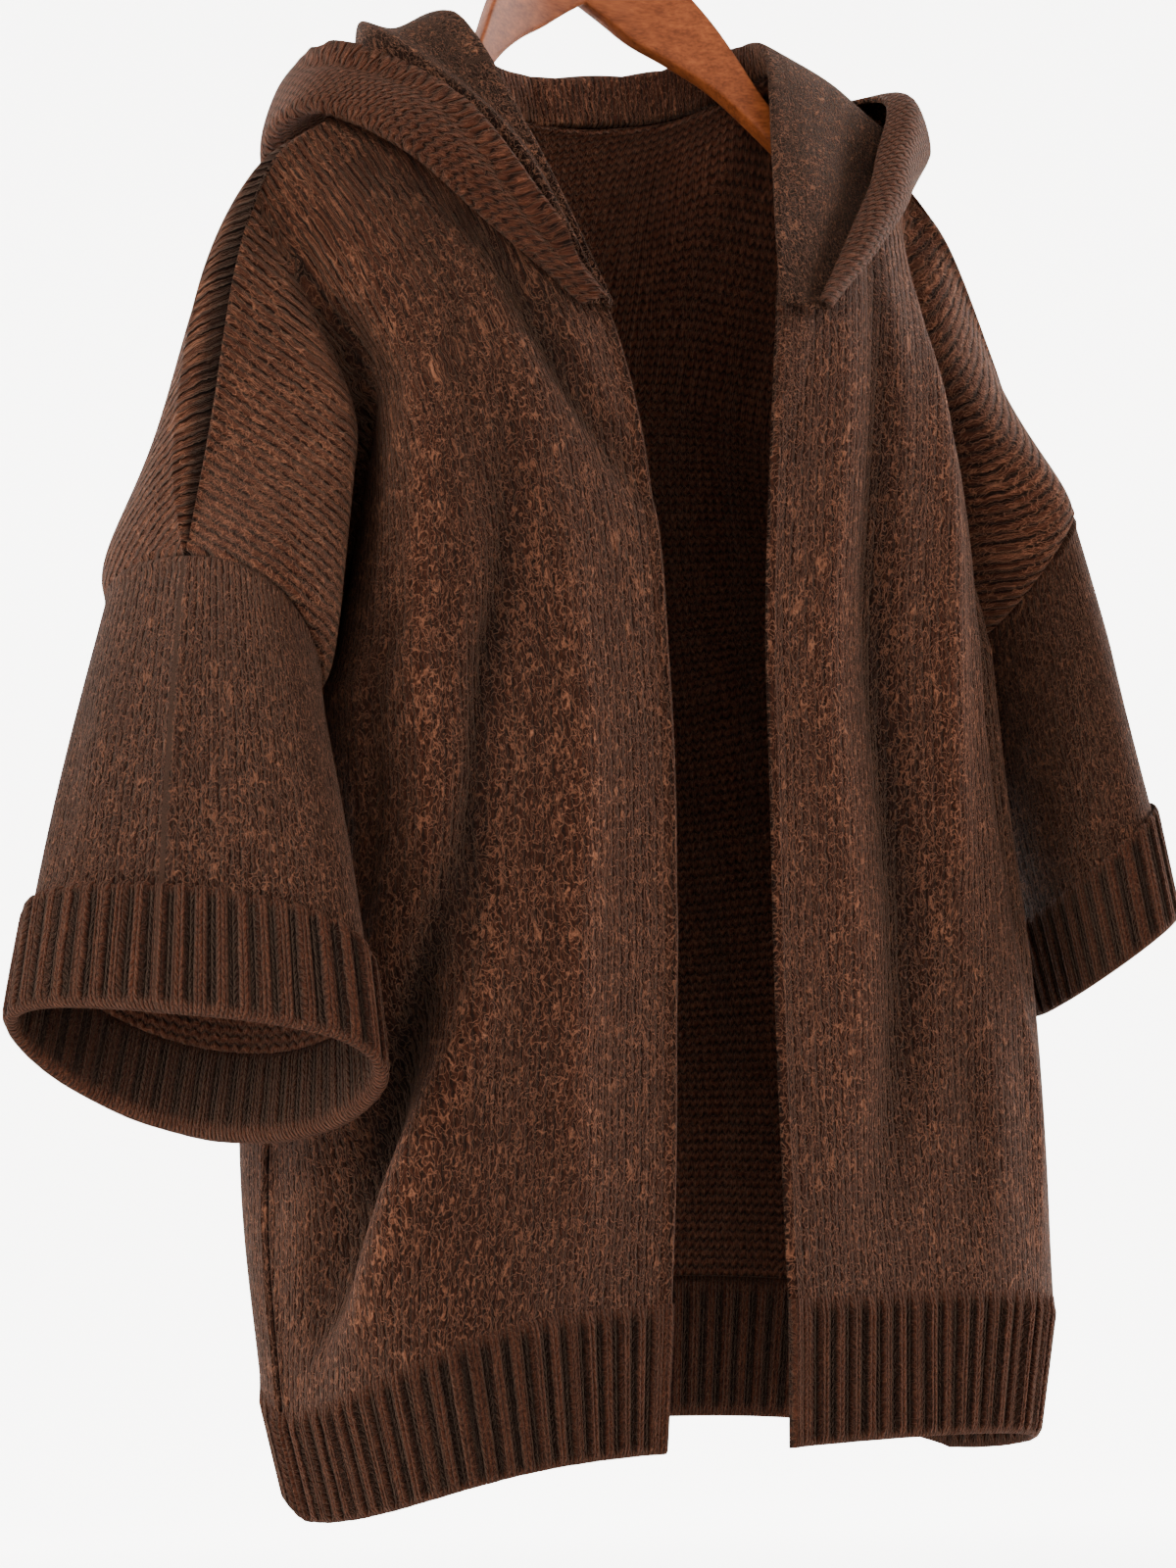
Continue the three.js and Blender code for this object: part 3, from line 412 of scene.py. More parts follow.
def places(total, spacing, ends=(True, True)):
    """Distances along a line of a given length."""
    first = list(EDGE_PLACES) if ends[0] else [0.0]
    last = list(EDGE_PLACES) if ends[1] else [0.0]
    start, stop = first[-1], total - last[-1]
    count = max(2, int(round((stop - start) / spacing)))
    middle = np.linspace(start, stop, count + 1)[1:-1]
    return np.array(first + list(middle) + [total - d for d in reversed(last)])


def line_lengths(points):
    step = np.linalg.norm(np.diff(points, axis=-2), axis=-1)
    zero = np.zeros(step.shape[:-1] + (1,))
    return np.concatenate([zero, np.cumsum(step, axis=-1)], axis=-1)


def even_rows(curve, spacing, ends=(True, True)):
    """Shares (0 to 1) of a curve at places along it, and those places."""
    fine = np.linspace(0, 1, 1500)
    length = line_lengths(curve(fine))
    at = places(length[-1], spacing, ends)
    return np.interp(at, length, fine), at


def even_columns(surface, rows, columns, count=900):
    """For each row, shares across at the same shares of the row's own length."""
    fine = np.linspace(0, 1, count)
    shares = np.empty((len(rows), len(columns)))
    lengths = np.empty_like(shares)
    margin, whole = EDGE_PLACES[-1], columns[-1]
    inside = (columns > margin) & (columns < whole - margin)
    stretch = (columns - margin) / (whole - 2 * margin)
    for i, t in enumerate(rows):
        length = line_lengths(surface(fine, np.full_like(fine, t)))
        total = length[-1]
        at = np.where(columns <= whole / 2, columns, total - (whole - columns))
        lengths[i] = np.where(inside, margin + stretch * (total - 2 * margin), at)
        shares[i] = np.interp(lengths[i], length, fine)
    return shares, lengths


def grid_normals(grid, sign):
    return unit(np.cross(np.gradient(grid, axis=1), np.gradient(grid, axis=0))) * sign


def round_off(distance, radius):
    """How far a surface drops where it rounds over an edge."""
    d = np.clip(distance / radius, 0, 1)
    return radius * (1 - np.sqrt(np.clip(1 - (1 - d) ** 2, 0, 1)))


def add(name, data):
    made = bpy.data.objects.new(name, data)
    bpy.context.scene.collection.objects.link(made)
    return made


def add_mesh(name, mesh, materials):
    mesh.polygons.foreach_set("use_smooth", np.ones(len(mesh.polygons), bool))
    for material in materials:
        mesh.materials.append(material)
    return add(name, mesh)


def make_mesh(name, positions, faces, materials, uv, attributes, slots=None):
    mesh = bpy.data.meshes.new(name)
    positions = np.asarray(positions, np.float32).reshape(-1, 3)
    faces = np.asarray(faces, np.int32)
    starts = np.arange(0, faces.size, faces.shape[1], dtype=np.int32)
    mesh.vertices.add(len(positions))
    mesh.vertices.foreach_set("co", positions.ravel())
    mesh.loops.add(faces.size)
    mesh.loops.foreach_set("vertex_index", faces.ravel())
    mesh.polygons.add(len(faces))
    mesh.polygons.foreach_set("loop_start", starts)
    if slots is not None:
        mesh.polygons.foreach_set("material_index", np.asarray(slots, np.int32))
    mesh.update(calc_edges=True)
    mesh.validate()
    layer = mesh.uv_layers.new(name="cloth")
    at_corners = np.asarray(uv, np.float32).reshape(-1, 2)[faces.ravel()]
    layer.data.foreach_set("uv", at_corners.ravel())
    for key, values in attributes.items():
        made = mesh.attributes.new(key, "FLOAT", "POINT")
        made.data.foreach_set("value", np.asarray(values, np.float32).ravel())
    return add_mesh(name, mesh, materials)


def quads(rows, columns, wrap=True, wrap_rows=False):
    """The faces of a grid of points."""
    r, c = np.meshgrid(np.arange(rows if wrap_rows else rows - 1),
                       np.arange(columns if wrap else columns - 1), indexing="ij")
    r, c = r.ravel(), c.ravel()
    beyond, beside = (r + 1) % rows * columns, (c + 1) % columns
    return np.stack([r * columns + c, r * columns + beside, beyond + beside, beyond + c], 1)


def cloth(name, outer, inner, uv, ribbed, materials, wrap=False, sign=1.0, deep=None):
    """A wall between two grids of points. The first material is its face, the second inside."""
    rows, columns = outer.shape[:2]
    count = rows * columns
    front = quads(rows, columns, wrap)
    behind = front[:, [0, 3, 2, 1]] + count
    here = np.arange(columns if wrap else columns - 1)
    beside, top = (here + 1) % columns, (rows - 1) * columns
    rims = [(here, here + count, beside + count, beside),
            (top + here, top + beside, top + beside + count, top + here + count)]
    if not wrap:
        low = np.arange(rows - 1) * columns
        high = low + columns
        rims.append((low, high, high + count, low + count))
        low, high = low + columns - 1, high + columns - 1
        rims.append((low, low + count, high + count, high))
    rims = [np.stack(rim, 1) for rim in rims]
    faces = np.concatenate([front, behind] + rims)
    slots = np.zeros(len(faces))
    slots[len(front):2 * len(front)] = 1
    if sign < 0:
        faces = faces[:, ::-1]
    # deep is painted shade: how much darker the colour is painted, on the face and inside; below
    # zero it is a painted highlight.
    if deep is None:
        deep = 0 * ribbed
    if not isinstance(deep, tuple):
        deep = (deep, 0 * deep)
    twice = [np.concatenate([a.reshape(-1), b.reshape(-1)]) for a, b in ((ribbed, ribbed), deep)]
    return make_mesh(name, metres(np.stack([outer, inner])), faces, materials,
                     np.stack([uv, uv]), {"ribbed": twice[0], "deep": twice[1]}, slots)


# Materials.
class Graph:
    """Short names for a material's nodes."""

    def __init__(self, name):
        self.material = bpy.data.materials.new(name)
        self.material.use_nodes = True
        self.tree = self.material.node_tree
        self.shader = self.tree.nodes["Principled BSDF"]

    def node(self, kind, **settings):
        made = self.tree.nodes.new(kind)
        for key, value in settings.items():
            setattr(made, key, value)
        return made

    def join(self, value, socket):
        if isinstance(value, bpy.types.NodeSocket):
            self.tree.links.new(value, socket)
        else:
            socket.default_value = value

    def filled(self, kind, values, inputs, output=0, **settings):
        """A node with values on its inputs, and one of its outputs."""
        made = self.node(kind, **settings)
        for value, at in zip(values, inputs):
            self.join(value, made.inputs[at])
        return made.outputs[output]

    def math(self, operation, *values, clamp=False):
        return self.filled("ShaderNodeMath", values, (0, 1), operation=operation, use_clamp=clamp)

    def times(self, a, b):
        return self.math("MULTIPLY", a, b)

    def plus(self, a, b):
        return self.math("ADD", a, b)

    def less(self, a, b):
        return self.math("SUBTRACT", a, b)

    def mix(self, share, low, high):
        return self.filled("ShaderNodeMix", (share, low, high), (0, 2, 3), data_type="FLOAT")

    def colour(self, share, low, high, blend="MIX"):
        return self.filled("ShaderNodeMix", (share, low, high), (0, 6, 7), 2,
                           data_type="RGBA", blend_type=blend)

    def split(self, kind, value):
        made = self.node(kind)
        self.join(value, made.inputs[0])
        return made.outputs

    def fix(self, **values):
        """Constants on the shader's own sockets, with _ for the spaces in their names."""
        for key, value in values.items():
            self.shader.inputs[key.replace("_", " ")].default_value = value

    def bump(self, height, strength, distance):
        made = self.node("ShaderNodeBump")
        made.inputs["Strength"].default_value = strength
        made.inputs["Distance"].default_value = distance
        self.join(height, made.inputs["Height"])
        self.join(made.outputs[0], self.shader.inputs["Normal"])

    def noise(self, vector, scale, detail=2.0, roughness=0.5, distortion=0.0, output="Fac"):
        made = self.node("ShaderNodeTexNoise")
        self.join(vector, made.inputs["Vector"])
        for key, value in (("Scale", scale), ("Detail", detail), ("Roughness", roughness),
                           ("Distortion", distortion)):
            made.inputs[key].default_value = value
        return made.outputs[output]

    def place(self):
        return self.node("ShaderNodeTexCoord").outputs["Object"]

    def vector(self, x, y, z=0.0):
        return self.filled("ShaderNodeCombineXYZ", (x, y, z), (0, 1, 2))

    def remap(self, value, low, high, to_low=0.0, to_high=1.0):
        return self.filled("ShaderNodeMapRange", (value, low, high, to_low, to_high), range(5),
                           clamp=True)


STITCH_WIDE = 0.0047
STITCH_HIGH = 0.0036
PURL_HIGH = 0.0048
BROWN_PAINTED_SHADE = (0.006, 0.0018, 0.0009, 1)
BROWN = (0.060, 0.0170, 0.0079, 1)
BROWN_PAINTED_HIGHLIGHT = (0.40, 0.166, 0.089, 1)
SHEEN = (0.75, 0.45, 0.3, 1)
WOOD_DARK = (0.105, 0.024, 0.0065, 1)
WOOD_LIGHT = (0.25, 0.066, 0.019, 1)
GRAIN_WAY = math.radians(42)
KNITS = {  # how far the wales wander in metres, loose yarn over them, clear stitches
    "face": (0.0030, 0.85, 0.62), "hood": (0.0050, 1.0, 0.34),
    "reverse": (0.0016, 0.35, 1.0), "rib": (0.0010, 0.30, 0.95),
}


def knit_material(kind):
    """Wool knit of one of KNITS' kinds."""
    g = Graph("knit_" + kind)
    wander, loose, stitched = KNITS[kind]
    uv = g.node("ShaderNodeUVMap", uv_map="cloth").outputs[0]
    place = g.place()
    u, v = g.split("ShaderNodeSeparateXYZ", uv)[:2]
    broad, small = (g.split("ShaderNodeSeparateColor", g.noise(place, scale, 1.0, output="Color"))
                    for scale in (130, 460))
    ribbed = g.node("ShaderNodeAttribute", attribute_name="ribbed").outputs["Fac"]
    deep = g.node("ShaderNodeAttribute", attribute_name="deep").outputs["Fac"]
    calm = g.mix(ribbed, 1.0, 0.7)

    def moved(value, k):
        shift = g.plus(g.times(g.less(broad[k], 0.5), wander),
                       g.times(g.less(small[k], 0.5), wander * 0.55))
        return g.plus(value, g.times(shift, calm))

    def line(value, sharp):
        away = g.math("ABSOLUTE", g.less(value, 0.5))
        return g.math("SUBTRACT", 1.0, g.times(away, sharp), clamp=True)

    def wave(operation, value, turns):
        return g.math(operation, g.times(value, turns * math.pi))

    u1, v1 = moved(u, 0), moved(v, 1)
    if kind == "reverse":
        wobble = wave("SINE", u1, 2 / STITCH_WIDE)
        y = g.plus(g.times(v1, 1 / PURL_HIGH), g.times(wobble, 0.17))
        ridge = g.math("POWER", g.math("ABSOLUTE", wave("SINE", y, 1)), 0.9)
        height = g.times(ridge, g.remap(wobble, -1.0, 1.0, 0.62, 1.0))
    else:
        x = g.math("FRACT", g.times(u1, 1 / STITCH_WIDE))
        side = g.times(g.math("ABSOLUTE", g.less(x, 0.5)), 2.0)
        along = g.math("FRACT", g.less(g.times(v1, 1 / STITCH_HIGH), g.times(side, 0.95)))
        leg = g.math("POWER", wave("SINE", side, 1), 0.65)
        blob = g.math("POWER", wave("SINE", along, 1), 0.6)
        height = g.times(leg, g.plus(g.times(blob, 0.62), 0.38))
    # Loose curls of the brushed yarn over the stitches: lines along the middle of a noise.
    curls = []
    for scale, layer in ((300, 0.0), (430, 0.31)):
        curl_place = g.vector(u1, g.times(v1, g.mix(ribbed, 0.62, 0.3)), layer)
        curls.append(line(g.noise(curl_place, scale, 0.0, 0.5, 1.0), 20.0))
    strand = g.math("MAXIMUM", curls[0], g.times(curls[1], 0.8))
    fuzz = g.noise(place, 1500, 2.0, 0.6)
    # Open channels between the wales, strongest near the shoulders.
    wale = g.math("POWER", g.remap(wave("COSINE", u1, 2 / STITCH_WIDE), 1.0, -1.0), 0.7)
    knitted = g.plus(g.times(height, stitched), g.times(strand, g.times(calm, loose)))
    if kind == "reverse":
        ribbed = 0.0
    raised = g.mix(ribbed, knitted, g.plus(g.times(wale, 0.95), g.times(knitted, 0.5)))
    g.bump(g.plus(raised, g.times(fuzz, 0.4)), 1.0, 0.0020)
    # Colour: painted shade between the stitches and in the open channels between the wales, a
    # painted highlight on the raised yarn and its loose curls, and uneven over the cloth.
    level = g.mix(ribbed, g.remap(knitted, 0.16, 0.95), g.remap(raised, 0.40, 1.30))
    crest = g.math("MAXIMUM", g.remap(raised, 1.0, 1.6), g.times(strand, loose * 0.7))
    painted_highlight = g.times(g.math("POWER", crest, 1.4), g.remap(fuzz, 0.35, 0.62, 0.4, 1.0))
    base = g.colour(g.times(painted_highlight, 0.95), g.colour(level, BROWN_PAINTED_SHADE, BROWN), BROWN_PAINTED_HIGHLIGHT)
    patch = g.noise(place, 9, 3.0, 0.6)
    heather = g.noise(place, 260, 2.0, 0.7)
    tone = g.plus(g.remap(patch, 0.3, 0.7, 0.84, 1.08), g.remap(heather, 0.3, 0.7, -0.12, 0.16))
    # Painted shade from the deep attribute: the tone is darker in folds, by seams, in rib channels,
    # inside the cuffs and on the sleeves, and lighter on fold ridges as a painted highlight.
    tone = g.times(tone, g.less(1.0, g.times(deep, PAINTED_SHADE_TONE)))
    grey = g.filled("ShaderNodeCombineColor", (tone, tone, tone), (0, 1, 2))
    g.join(g.colour(1.0, base, grey, "MULTIPLY"), g.shader.inputs["Base Color"])
    g.fix(Roughness=0.92, Specular_IOR_Level=0.08, Sheen_Weight=0.12, Sheen_Roughness=0.45,
          Sheen_Tint=SHEEN)
    return g.material


def wood_material():
    g = Graph("varnished_wood")
    x, y, z = g.split("ShaderNodeSeparateXYZ", g.place())
    stretch = g.node("ShaderNodeMapping")
    stretch.inputs["Rotation"].default_value = (0, GRAIN_WAY, 0)
    stretch.inputs["Scale"].default_value = (5, 90, 90)
    g.join(g.vector(g.math("ABSOLUTE", x), y, z), stretch.inputs[0])
    grain = g.noise(stretch.outputs[0], 2.0, 3.0, 0.6, 0.5)
    fine = g.noise(stretch.outputs[0], 9.0, 3.0, 0.6)
    tone = g.remap(g.plus(g.times(grain, 0.5), g.times(fine, 0.5)), 0.36, 0.64)
    g.join(g.colour(tone, WOOD_DARK, WOOD_LIGHT), g.shader.inputs["Base Color"])
    g.bump(fine, 0.25, 0.0003)
    g.fix(Roughness=0.55, Specular_IOR_Level=0.15, Coat_Weight=0.03, Coat_Roughness=0.3)
    return g.material


def steel_material():
    g = Graph("polished_wire")
    marks = g.noise(g.place(), 900, 3.0, 0.6)
    g.join(g.remap(marks, 0.3, 0.7, 0.18, 0.32), g.shader.inputs["Roughness"])
    g.fix(Base_Color=(0.68, 0.69, 0.70, 1), Metallic=1.0)
    return g.material


KNIT, FOLDED, REVERSE, RIB = (knit_material(kind) for kind in ("face", "hood", "reverse", "rib"))
WOOD, STEEL = wood_material(), steel_material()


def belongs(made, node):
    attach(made, "root")
    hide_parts(node)


def finish_cloth(made, node, grid, wrap=False):
    """Attaches a piece of cloth to the root and hides its solid. The length of its longest column
    of points is worked out but not used."""
    belongs(made, node)
    around = np.concatenate([grid, grid[:, :1]], axis=1) if wrap else grid
    length = math.ceil(line_lengths(around.swapaxes(0, 1))[:, -1].max()) / 1000


def edge_relief(distance, ridge, at, width):
    """A raised line beside an edge, in millimetres outwards."""
    return ridge * np.exp(-((distance - at) / width) ** 2)


def painted_seam_shade(distance):
    """How dark the groove of a seam is painted, at a distance from it: painted shade."""
    return np.exp(-(distance / 0.8) ** 2)


def blended(inward, shared, weight):
    return unit(mix(inward, shared, weight[..., None]))


def mapped(across, along):
    """Places on the flat cut, from millimetres across and along it."""
    return np.stack(np.broadcast_arrays(across, along), -1) / 1000


def seam_relief(from_side, from_top, from_edge=None):
    """How far a panel stands out by its rolled edge and its stitched seams."""
    rise = edge_relief(from_top, 1.4, 4.4, 2.0) + edge_relief(from_side, 1.0, 4.2, 1.9)
    drop = 1.3 * round_off(from_side, 1.8) + 1.5 * round_off(from_top, 1.9)
    if from_edge is not None:
        rise = rise + edge_relief(from_edge, 1.6, 3.6, 2.0)
        drop = drop + round_off(from_edge, ROUNDED)
    return (rise - np.minimum(drop, EDGE_DROP))[..., None]


# Painted shade of a panel: darker by its seams and in the troughs of its folds, lighter on their
# ridges as a painted highlight.
def painted_panel_shade(from_side, from_top, sunk):
    return np.minimum(painted_seam_shade(from_side) + painted_seam_shade(from_top) + painted_fold_shade(sunk), 1)


def settled(away, t):
    """Small creases fade out beside the seams."""
    return smooth(0, 0.06, 1 - away) * smooth(0, 0.05, t) * smooth(0, 0.05, 1 - t)


def shoulder_inward(side, s):
    along = unit(side.shoulder(np.minimum(s + TURNED, 1))
                 - side.shoulder(np.maximum(s - TURNED, 0)))
    down = np.zeros_like(along)
    down[..., 2] = -1
    return unit(down - along * (down * along).sum(-1, keepdims=True))


def shared_inward(side, p, t):
    below = np.zeros_like(p)
    below[..., 0] = -side.sign
    return np.where((t > ARM_START)[..., None], unit(arm_centre(side) - p), below)


def build_front(side):
    surface = lambda s, t: front_point(side, s, t)
    rows, heights = even_rows(lambda t: surface(np.full_like(t, 0.35), t), ROW_STEP)
    widths = line_lengths(surface(np.linspace(0, 1, 900), 0.4))[-1]
    shares, lengths = even_columns(surface, rows, places(widths, FRONT_STEP))
    t = np.broadcast_to(rows[:, None], shares.shape)
    base = surface(shares, t)
    inward = grid_normals(base, -side.sign)
    sunk = small_creases(SMALL_FRONT[side.key], shares, t) + arm_creases(side, shares, t)
    sunk = sunk * settled(shares, t)
    base = base + inward * sunk[..., None]
    inward = blended(inward, shared_inward(side, base, t), smooth(0.9, 1, shares))
    inward = blended(inward, shoulder_inward(side, shares), smooth(0.93, 1, t))
    base[:, -1, 1] -= SEAM_GAP
    base[-1, :, 1] -= SEAM_GAP
    from_side = lengths[:, -1:] - lengths
    from_top = (heights[-1] - heights)[:, None] + 0 * lengths
    outer = base - inward * seam_relief(from_side, from_top, lengths)
    inner = base + inward * (WALL - np.minimum(round_off(lengths, 1.4), 1.2))[..., None]
    uv = mapped(slant_wales(side, base, lengths, shares, t, "front"), flat_heights(heights, shares))
    made = cloth("cardigan_front_" + side.key, outer, inner, uv, shoulder_ribs(side, shares, t),
                 [KNIT, REVERSE], sign=side.sign, deep=painted_panel_shade(from_side, from_top, sunk))
    finish_cloth(made, "front_" + side.key, base)


def flat_heights(heights, shares):
    """How high each point is on the flat piece: the shoulder seam slopes in the cut."""
    return heights[:, None] * (1 - TOP_SLOPE * shares)


def shoulder_ribs(side, s, t):
    """How open the channels between the wales are: most at the drop shoulder."""
    arm = smooth(-0.10, 0.10, s - side.crease(t)[..., 0]) * smooth(0.5, 0.62, t)
    top = smooth(0.80, 0.93, t) * smooth(0.1, 0.3, s)
    return 0.5 + 0.5 * np.clip(np.maximum(arm, top), 0, 1)


def arm_wales(side, p, half):
    """Wale places on the upper arm, which meet the shoulder seam at a slant."""
    seam = unit(side.shoulder(1.0) - side.shoulder(0.5))
    around = np.array(side.armhole[half], float) - np.array(side.armhole["out"], float)
    around = unit(around - seam * around.dot(seam))
    slant = math.radians(SEAM_SLANT)
    return ((p - side.shoulder(1.0)) @ (seam * math.sin(slant) - around * math.cos(slant)))


def slant_wales(side, p, across, s, t, half):
    """Wales beside the front edge or centre back, and past the arm crease on the arm's slant."""
    start = side.crease(t)[..., 0]
    arm = smooth(-0.004, 0.004, s - start) * smooth(ARM_START - 0.03, ARM_START, t)
    slanted = arm_wales(side, p, half)
    meet = np.exp(-((t - CREASE_TOP) / 0.03) ** 2 - ((s - start) / 0.03) ** 2)
    meet = meet * ((across > 0) == (side.sign > 0) if half == "back" else 1)
    level = ((across - slanted) * meet).sum() / meet.sum()
    return mix(across, slanted + level, arm)


def build_back():
    surface = lambda a, t: back_point(2 * a - 1, t)
    rows, heights = even_rows(lambda t: back_point(np.full_like(t, 0.2), t), ROW_STEP)
    widths = line_lengths(surface(np.linspace(0, 1, 1200), 0.4))[-1]
    shares, lengths = even_columns(surface, rows, places(widths, BACK_STEP), count=1600)
    t = np.broadcast_to(rows[:, None], shares.shape)
    s = 2 * shares - 1
    base = back_point(s, t)
    inward = grid_normals(base, 1)
    away = np.abs(s)
    sunk = small_creases(SMALL_BACK, s, t) * settled(away, t)
    base = base + inward * sunk[..., None]
    place = np.clip((away - NECK_SHARE) / (1 - NECK_SHARE), 0, 1)
    for side, chosen in ((right, s < 0), (left, s >= 0)):
        inward = blended(inward, shared_inward(side, base, t), smooth(0.9, 1, away) * chosen)
        at_top = smooth(0.93, 1, t) * chosen * (away >= NECK_SHARE)
        inward = blended(inward, shoulder_inward(side, place), at_top)
    base[:, [0, -1], 1] += SEAM_GAP
    base[-1, :, 1] += SEAM_GAP * (away[-1] >= NECK_SHARE)
    from_side = np.minimum(lengths, lengths[:, -1:] - lengths)
    from_top = (heights[-1] - heights)[:, None] + 0 * lengths
    outer = base - inward * seam_relief(from_side, from_top)
    # Inside, a linked ridge runs below the neckband.
    neck = smooth(NECK_SHARE + 0.03, NECK_SHARE - 0.03, away)
    linked = neck * (edge_relief(from_top, 2.0, 4.6, 1.6) + edge_relief(from_top, 1.2, 9.0, 1.3))
    inner = base + inward * (WALL + linked)[..., None]
    across = lengths - lengths[:, -1:] / 2
    ribbed, wales = (np.where(s < 0, a, b) for a, b in zip(*(
        (shoulder_ribs(side, away, t), slant_wales(side, base, across, away, t, "back"))
        for side in (right, left))))
    made = cloth("cardigan_back", outer, inner, mapped(wales, flat_heights(heights, away)), ribbed,
                 [KNIT, REVERSE], deep=painted_panel_shade(from_side, from_top, sunk))
    finish_cloth(made, "back", base)


SLACK = [  # folds below the armhole: depth, angle, its drift, width, where one starts and ends
    (3.4, 1.9, 0.5, 0.30, 0.02, 0.3, 0.8, 0.45),
    (2.6, 2.7, -0.6, 0.24, 0.0, 0.15, 0.6, 0.3),
    (3.0, 4.3, 0.4, 0.32, 0.02, 0.3, 0.8, 0.4),
    (2.0, 1.0, -0.3, 0.2, 0.3, 0.5, 0.78, 0.6),
    (2.2, 5.3, 0.2, 0.22, 0.2, 0.4, 0.78, 0.6),
]


def build_sleeve(side):
    angles = np.linspace(0, 2 * np.pi, 181)[:-1]
    sewn = SLEEVE_END + CUFF_EDGE / 4 + 0.001
    rows, heights = even_rows(
        lambda v: sleeve_point(side, np.zeros_like(v), v * sewn), SLEEVE_STEP, (True, False))
    angle, v = np.meshgrid(angles, rows * sewn)
    base = sleeve_point(side, angle, v)
    inward = unit(ring_centre(side, rows * sewn)[:, None, :] - base)
    # A soft line below the shoulder seam, and slack folds below the armhole.
    middle = np.clip(np.sin(np.pi * v / SLEEVE_END), 0, 1) ** 0.5
    fold = 2.2 * np.exp(-(np.minimum(angle, 2 * np.pi - angle) / 0.12) ** 2) * middle
    slack = sum(depth * hump(angle, at + drift * v, wide) * smooth(a, b, v) * smooth(c, d, v)
                for depth, at, drift, wide, a, b, c, d in SLACK)
    base[0] += unit(ring_centre(side, np.array(1.0)) - arm_centre(side)) * SEAM_GAP
    base = base - inward * (fold - slack)[..., None]
    from_top = heights[:, None] + 0 * angle
    drop = np.minimum(1.4 * round_off(from_top, 1.8), 2.3)
    outer = base - inward * (edge_relief(from_top, 1.2, 4.2, 1.9) - drop)[..., None]
    around = line_lengths(sleeve_point(side, np.linspace(0, 2 * np.pi, 400), 0.4))[-1]
    # Painted shade: the sleeve's colour is painted a little darker all over, and more by the
    # armhole seam.
    made = cloth("cardigan_sleeve_" + side.key, outer, base + inward * WALL,
                 mapped(angle / (2 * np.pi) * around, from_top),
                 0.45 + 0.3 * smooth(0.22, 0.0, v), [KNIT, REVERSE], wrap=True, sign=side.sign,
                 deep=np.maximum(painted_seam_shade(from_top), PAINTED_SLEEVE_SHADE))
    finish_cloth(made, "sleeve_" + side.key, base, wrap=True)


def from_rib(phase):
    """How far from the middle of a rib: 0 there, and 0.5 in the middle of a channel."""
    return np.abs((phase + 0.5) % 1 - 0.5)


def rib_profile(phase, rise):
    """Height of a two-stitch rib."""
    away = from_rib(phase)
    return rise * smooth(0.34, 0.20, away) - 0.6 * np.exp(-(away / 0.06) ** 2)


def channel(phase):
    """How deep in a channel between the ribs: 0 on a rib and 1 in the channel. It sets the painted
    shade in the channels.
    """
    return smooth(0.20, 0.32, from_rib(phase))


def fold_stations(from_degrees, to_degrees, count, at, reach, middle, half):
    """Places round a fold: along the sleeve, over the sleeve's line, and how much rib shows."""
    turns = np.radians(np.linspace(from_degrees, to_degrees, count)[1:-1])
    return [(at + reach * math.cos(turn), middle + half * math.sin(turn),
             0.5 + 0.5 * math.sin(turn)) for turn in turns]


def build_cuff(side):
    count = CUFF_RIBS * RIB_SAMPLES
    fine = np.linspace(0, 1, 2001)
    length = line_lengths(sleeve_point(side, 2 * np.pi * fine, 1.0))
    angle = np.interp(np.linspace(0, length[-1], count + 1)[:-1], length, fine) * 2 * np.pi
    phase = np.arange(count) / RIB_SAMPLES
    start = SLEEVE_END + CUFF_EDGE / 4
    shown = CUFF_STEP + CUFF_LAYER - RIB_RISE / 2
    under, lap = 1 - CUFF_EDGE, CUFF_TOP + CUFF_RIM
    stations = [(a, -WALL, 0.0) for a in np.linspace(start, under, 12)]
    stations += fold_stations(-90, 90, 11, under, CUFF_EDGE, (shown - WALL) / 2,
                              (shown + WALL) / 2)
    stations += [(a, shown, 1.0) for a in np.linspace(under, lap, 24)]
    stations += fold_stations(90, -90, 9, lap, -CUFF_RIM, (CUFF_STEP + shown) / 2,
                              (shown - CUFF_STEP) / 2)
    stations += [(a, CUFF_STEP, 0.0) for a in np.linspace(lap, under - 0.01, 8)]
    stations += [(a, 0.0, 0.0) for a in np.linspace(under - 0.01, start, 6)]
    profile, level, ribbing = (np.array(column)[:, None] for column in zip(*stations))
    centre = ring_centre(side, profile[:, 0])[:, None, :]
    outward = unit(sleeve_point(side, angle, profile) - centre)
    ends = smooth(1, 0.972, profile) * smooth(CUFF_TOP, CUFF_TOP + 0.022, profile)
    rib = rib_profile(phase, RIB_RISE) * ends + RIB_RISE / 2 * (1 - ends)
    wander = 0.35 * np.sin(phase * 1.7) * smooth(CUFF_TOP, 0.95, profile)
    inside = (level == -WALL) * smooth(start, start + 0.02, profile) * smooth(1, 0.96, profile)
    rise = level + (rib + wander) * ribbing - rib_profile(phase + 0.5, 1.3) * inside
    # Painted shade in the channels between the ribs and over the inside of the cuff.
    shade = channel(phase) * ribbing * ends + channel(phase + 0.5) * inside
    shade = np.maximum(shade * smooth(0.55, 0.9, ribbing + inside), PAINTED_INSIDE_SHADE * inside)
    # Each rib ends in a rounded loop at the rim.
    slip = 0.010 * smooth(0.2, 0.5, from_rib(phase)) * smooth(lap + 0.03, CUFF_TOP, profile)
    points = sleeve_point(side, angle, profile + slip * (ribbing > 0))
    made_points = points + outward * rise[..., None]
    rows, columns = made_points.shape[:2]
    faces = quads(rows, columns, wrap_rows=True)
    if side.sign > 0:
        faces = faces[:, ::-1]
    total = length[-1]
    v = line_lengths(made_points[:, 0])
    uv = mapped(phase * total / CUFF_RIBS, v[:, None])
    made = make_mesh("cardigan_cuff_" + side.key, metres(made_points), faces, [RIB], uv,
                     {"ribbed": np.zeros(rows * columns), "deep": shade})
    belongs(made, "cuff_" + side.key)


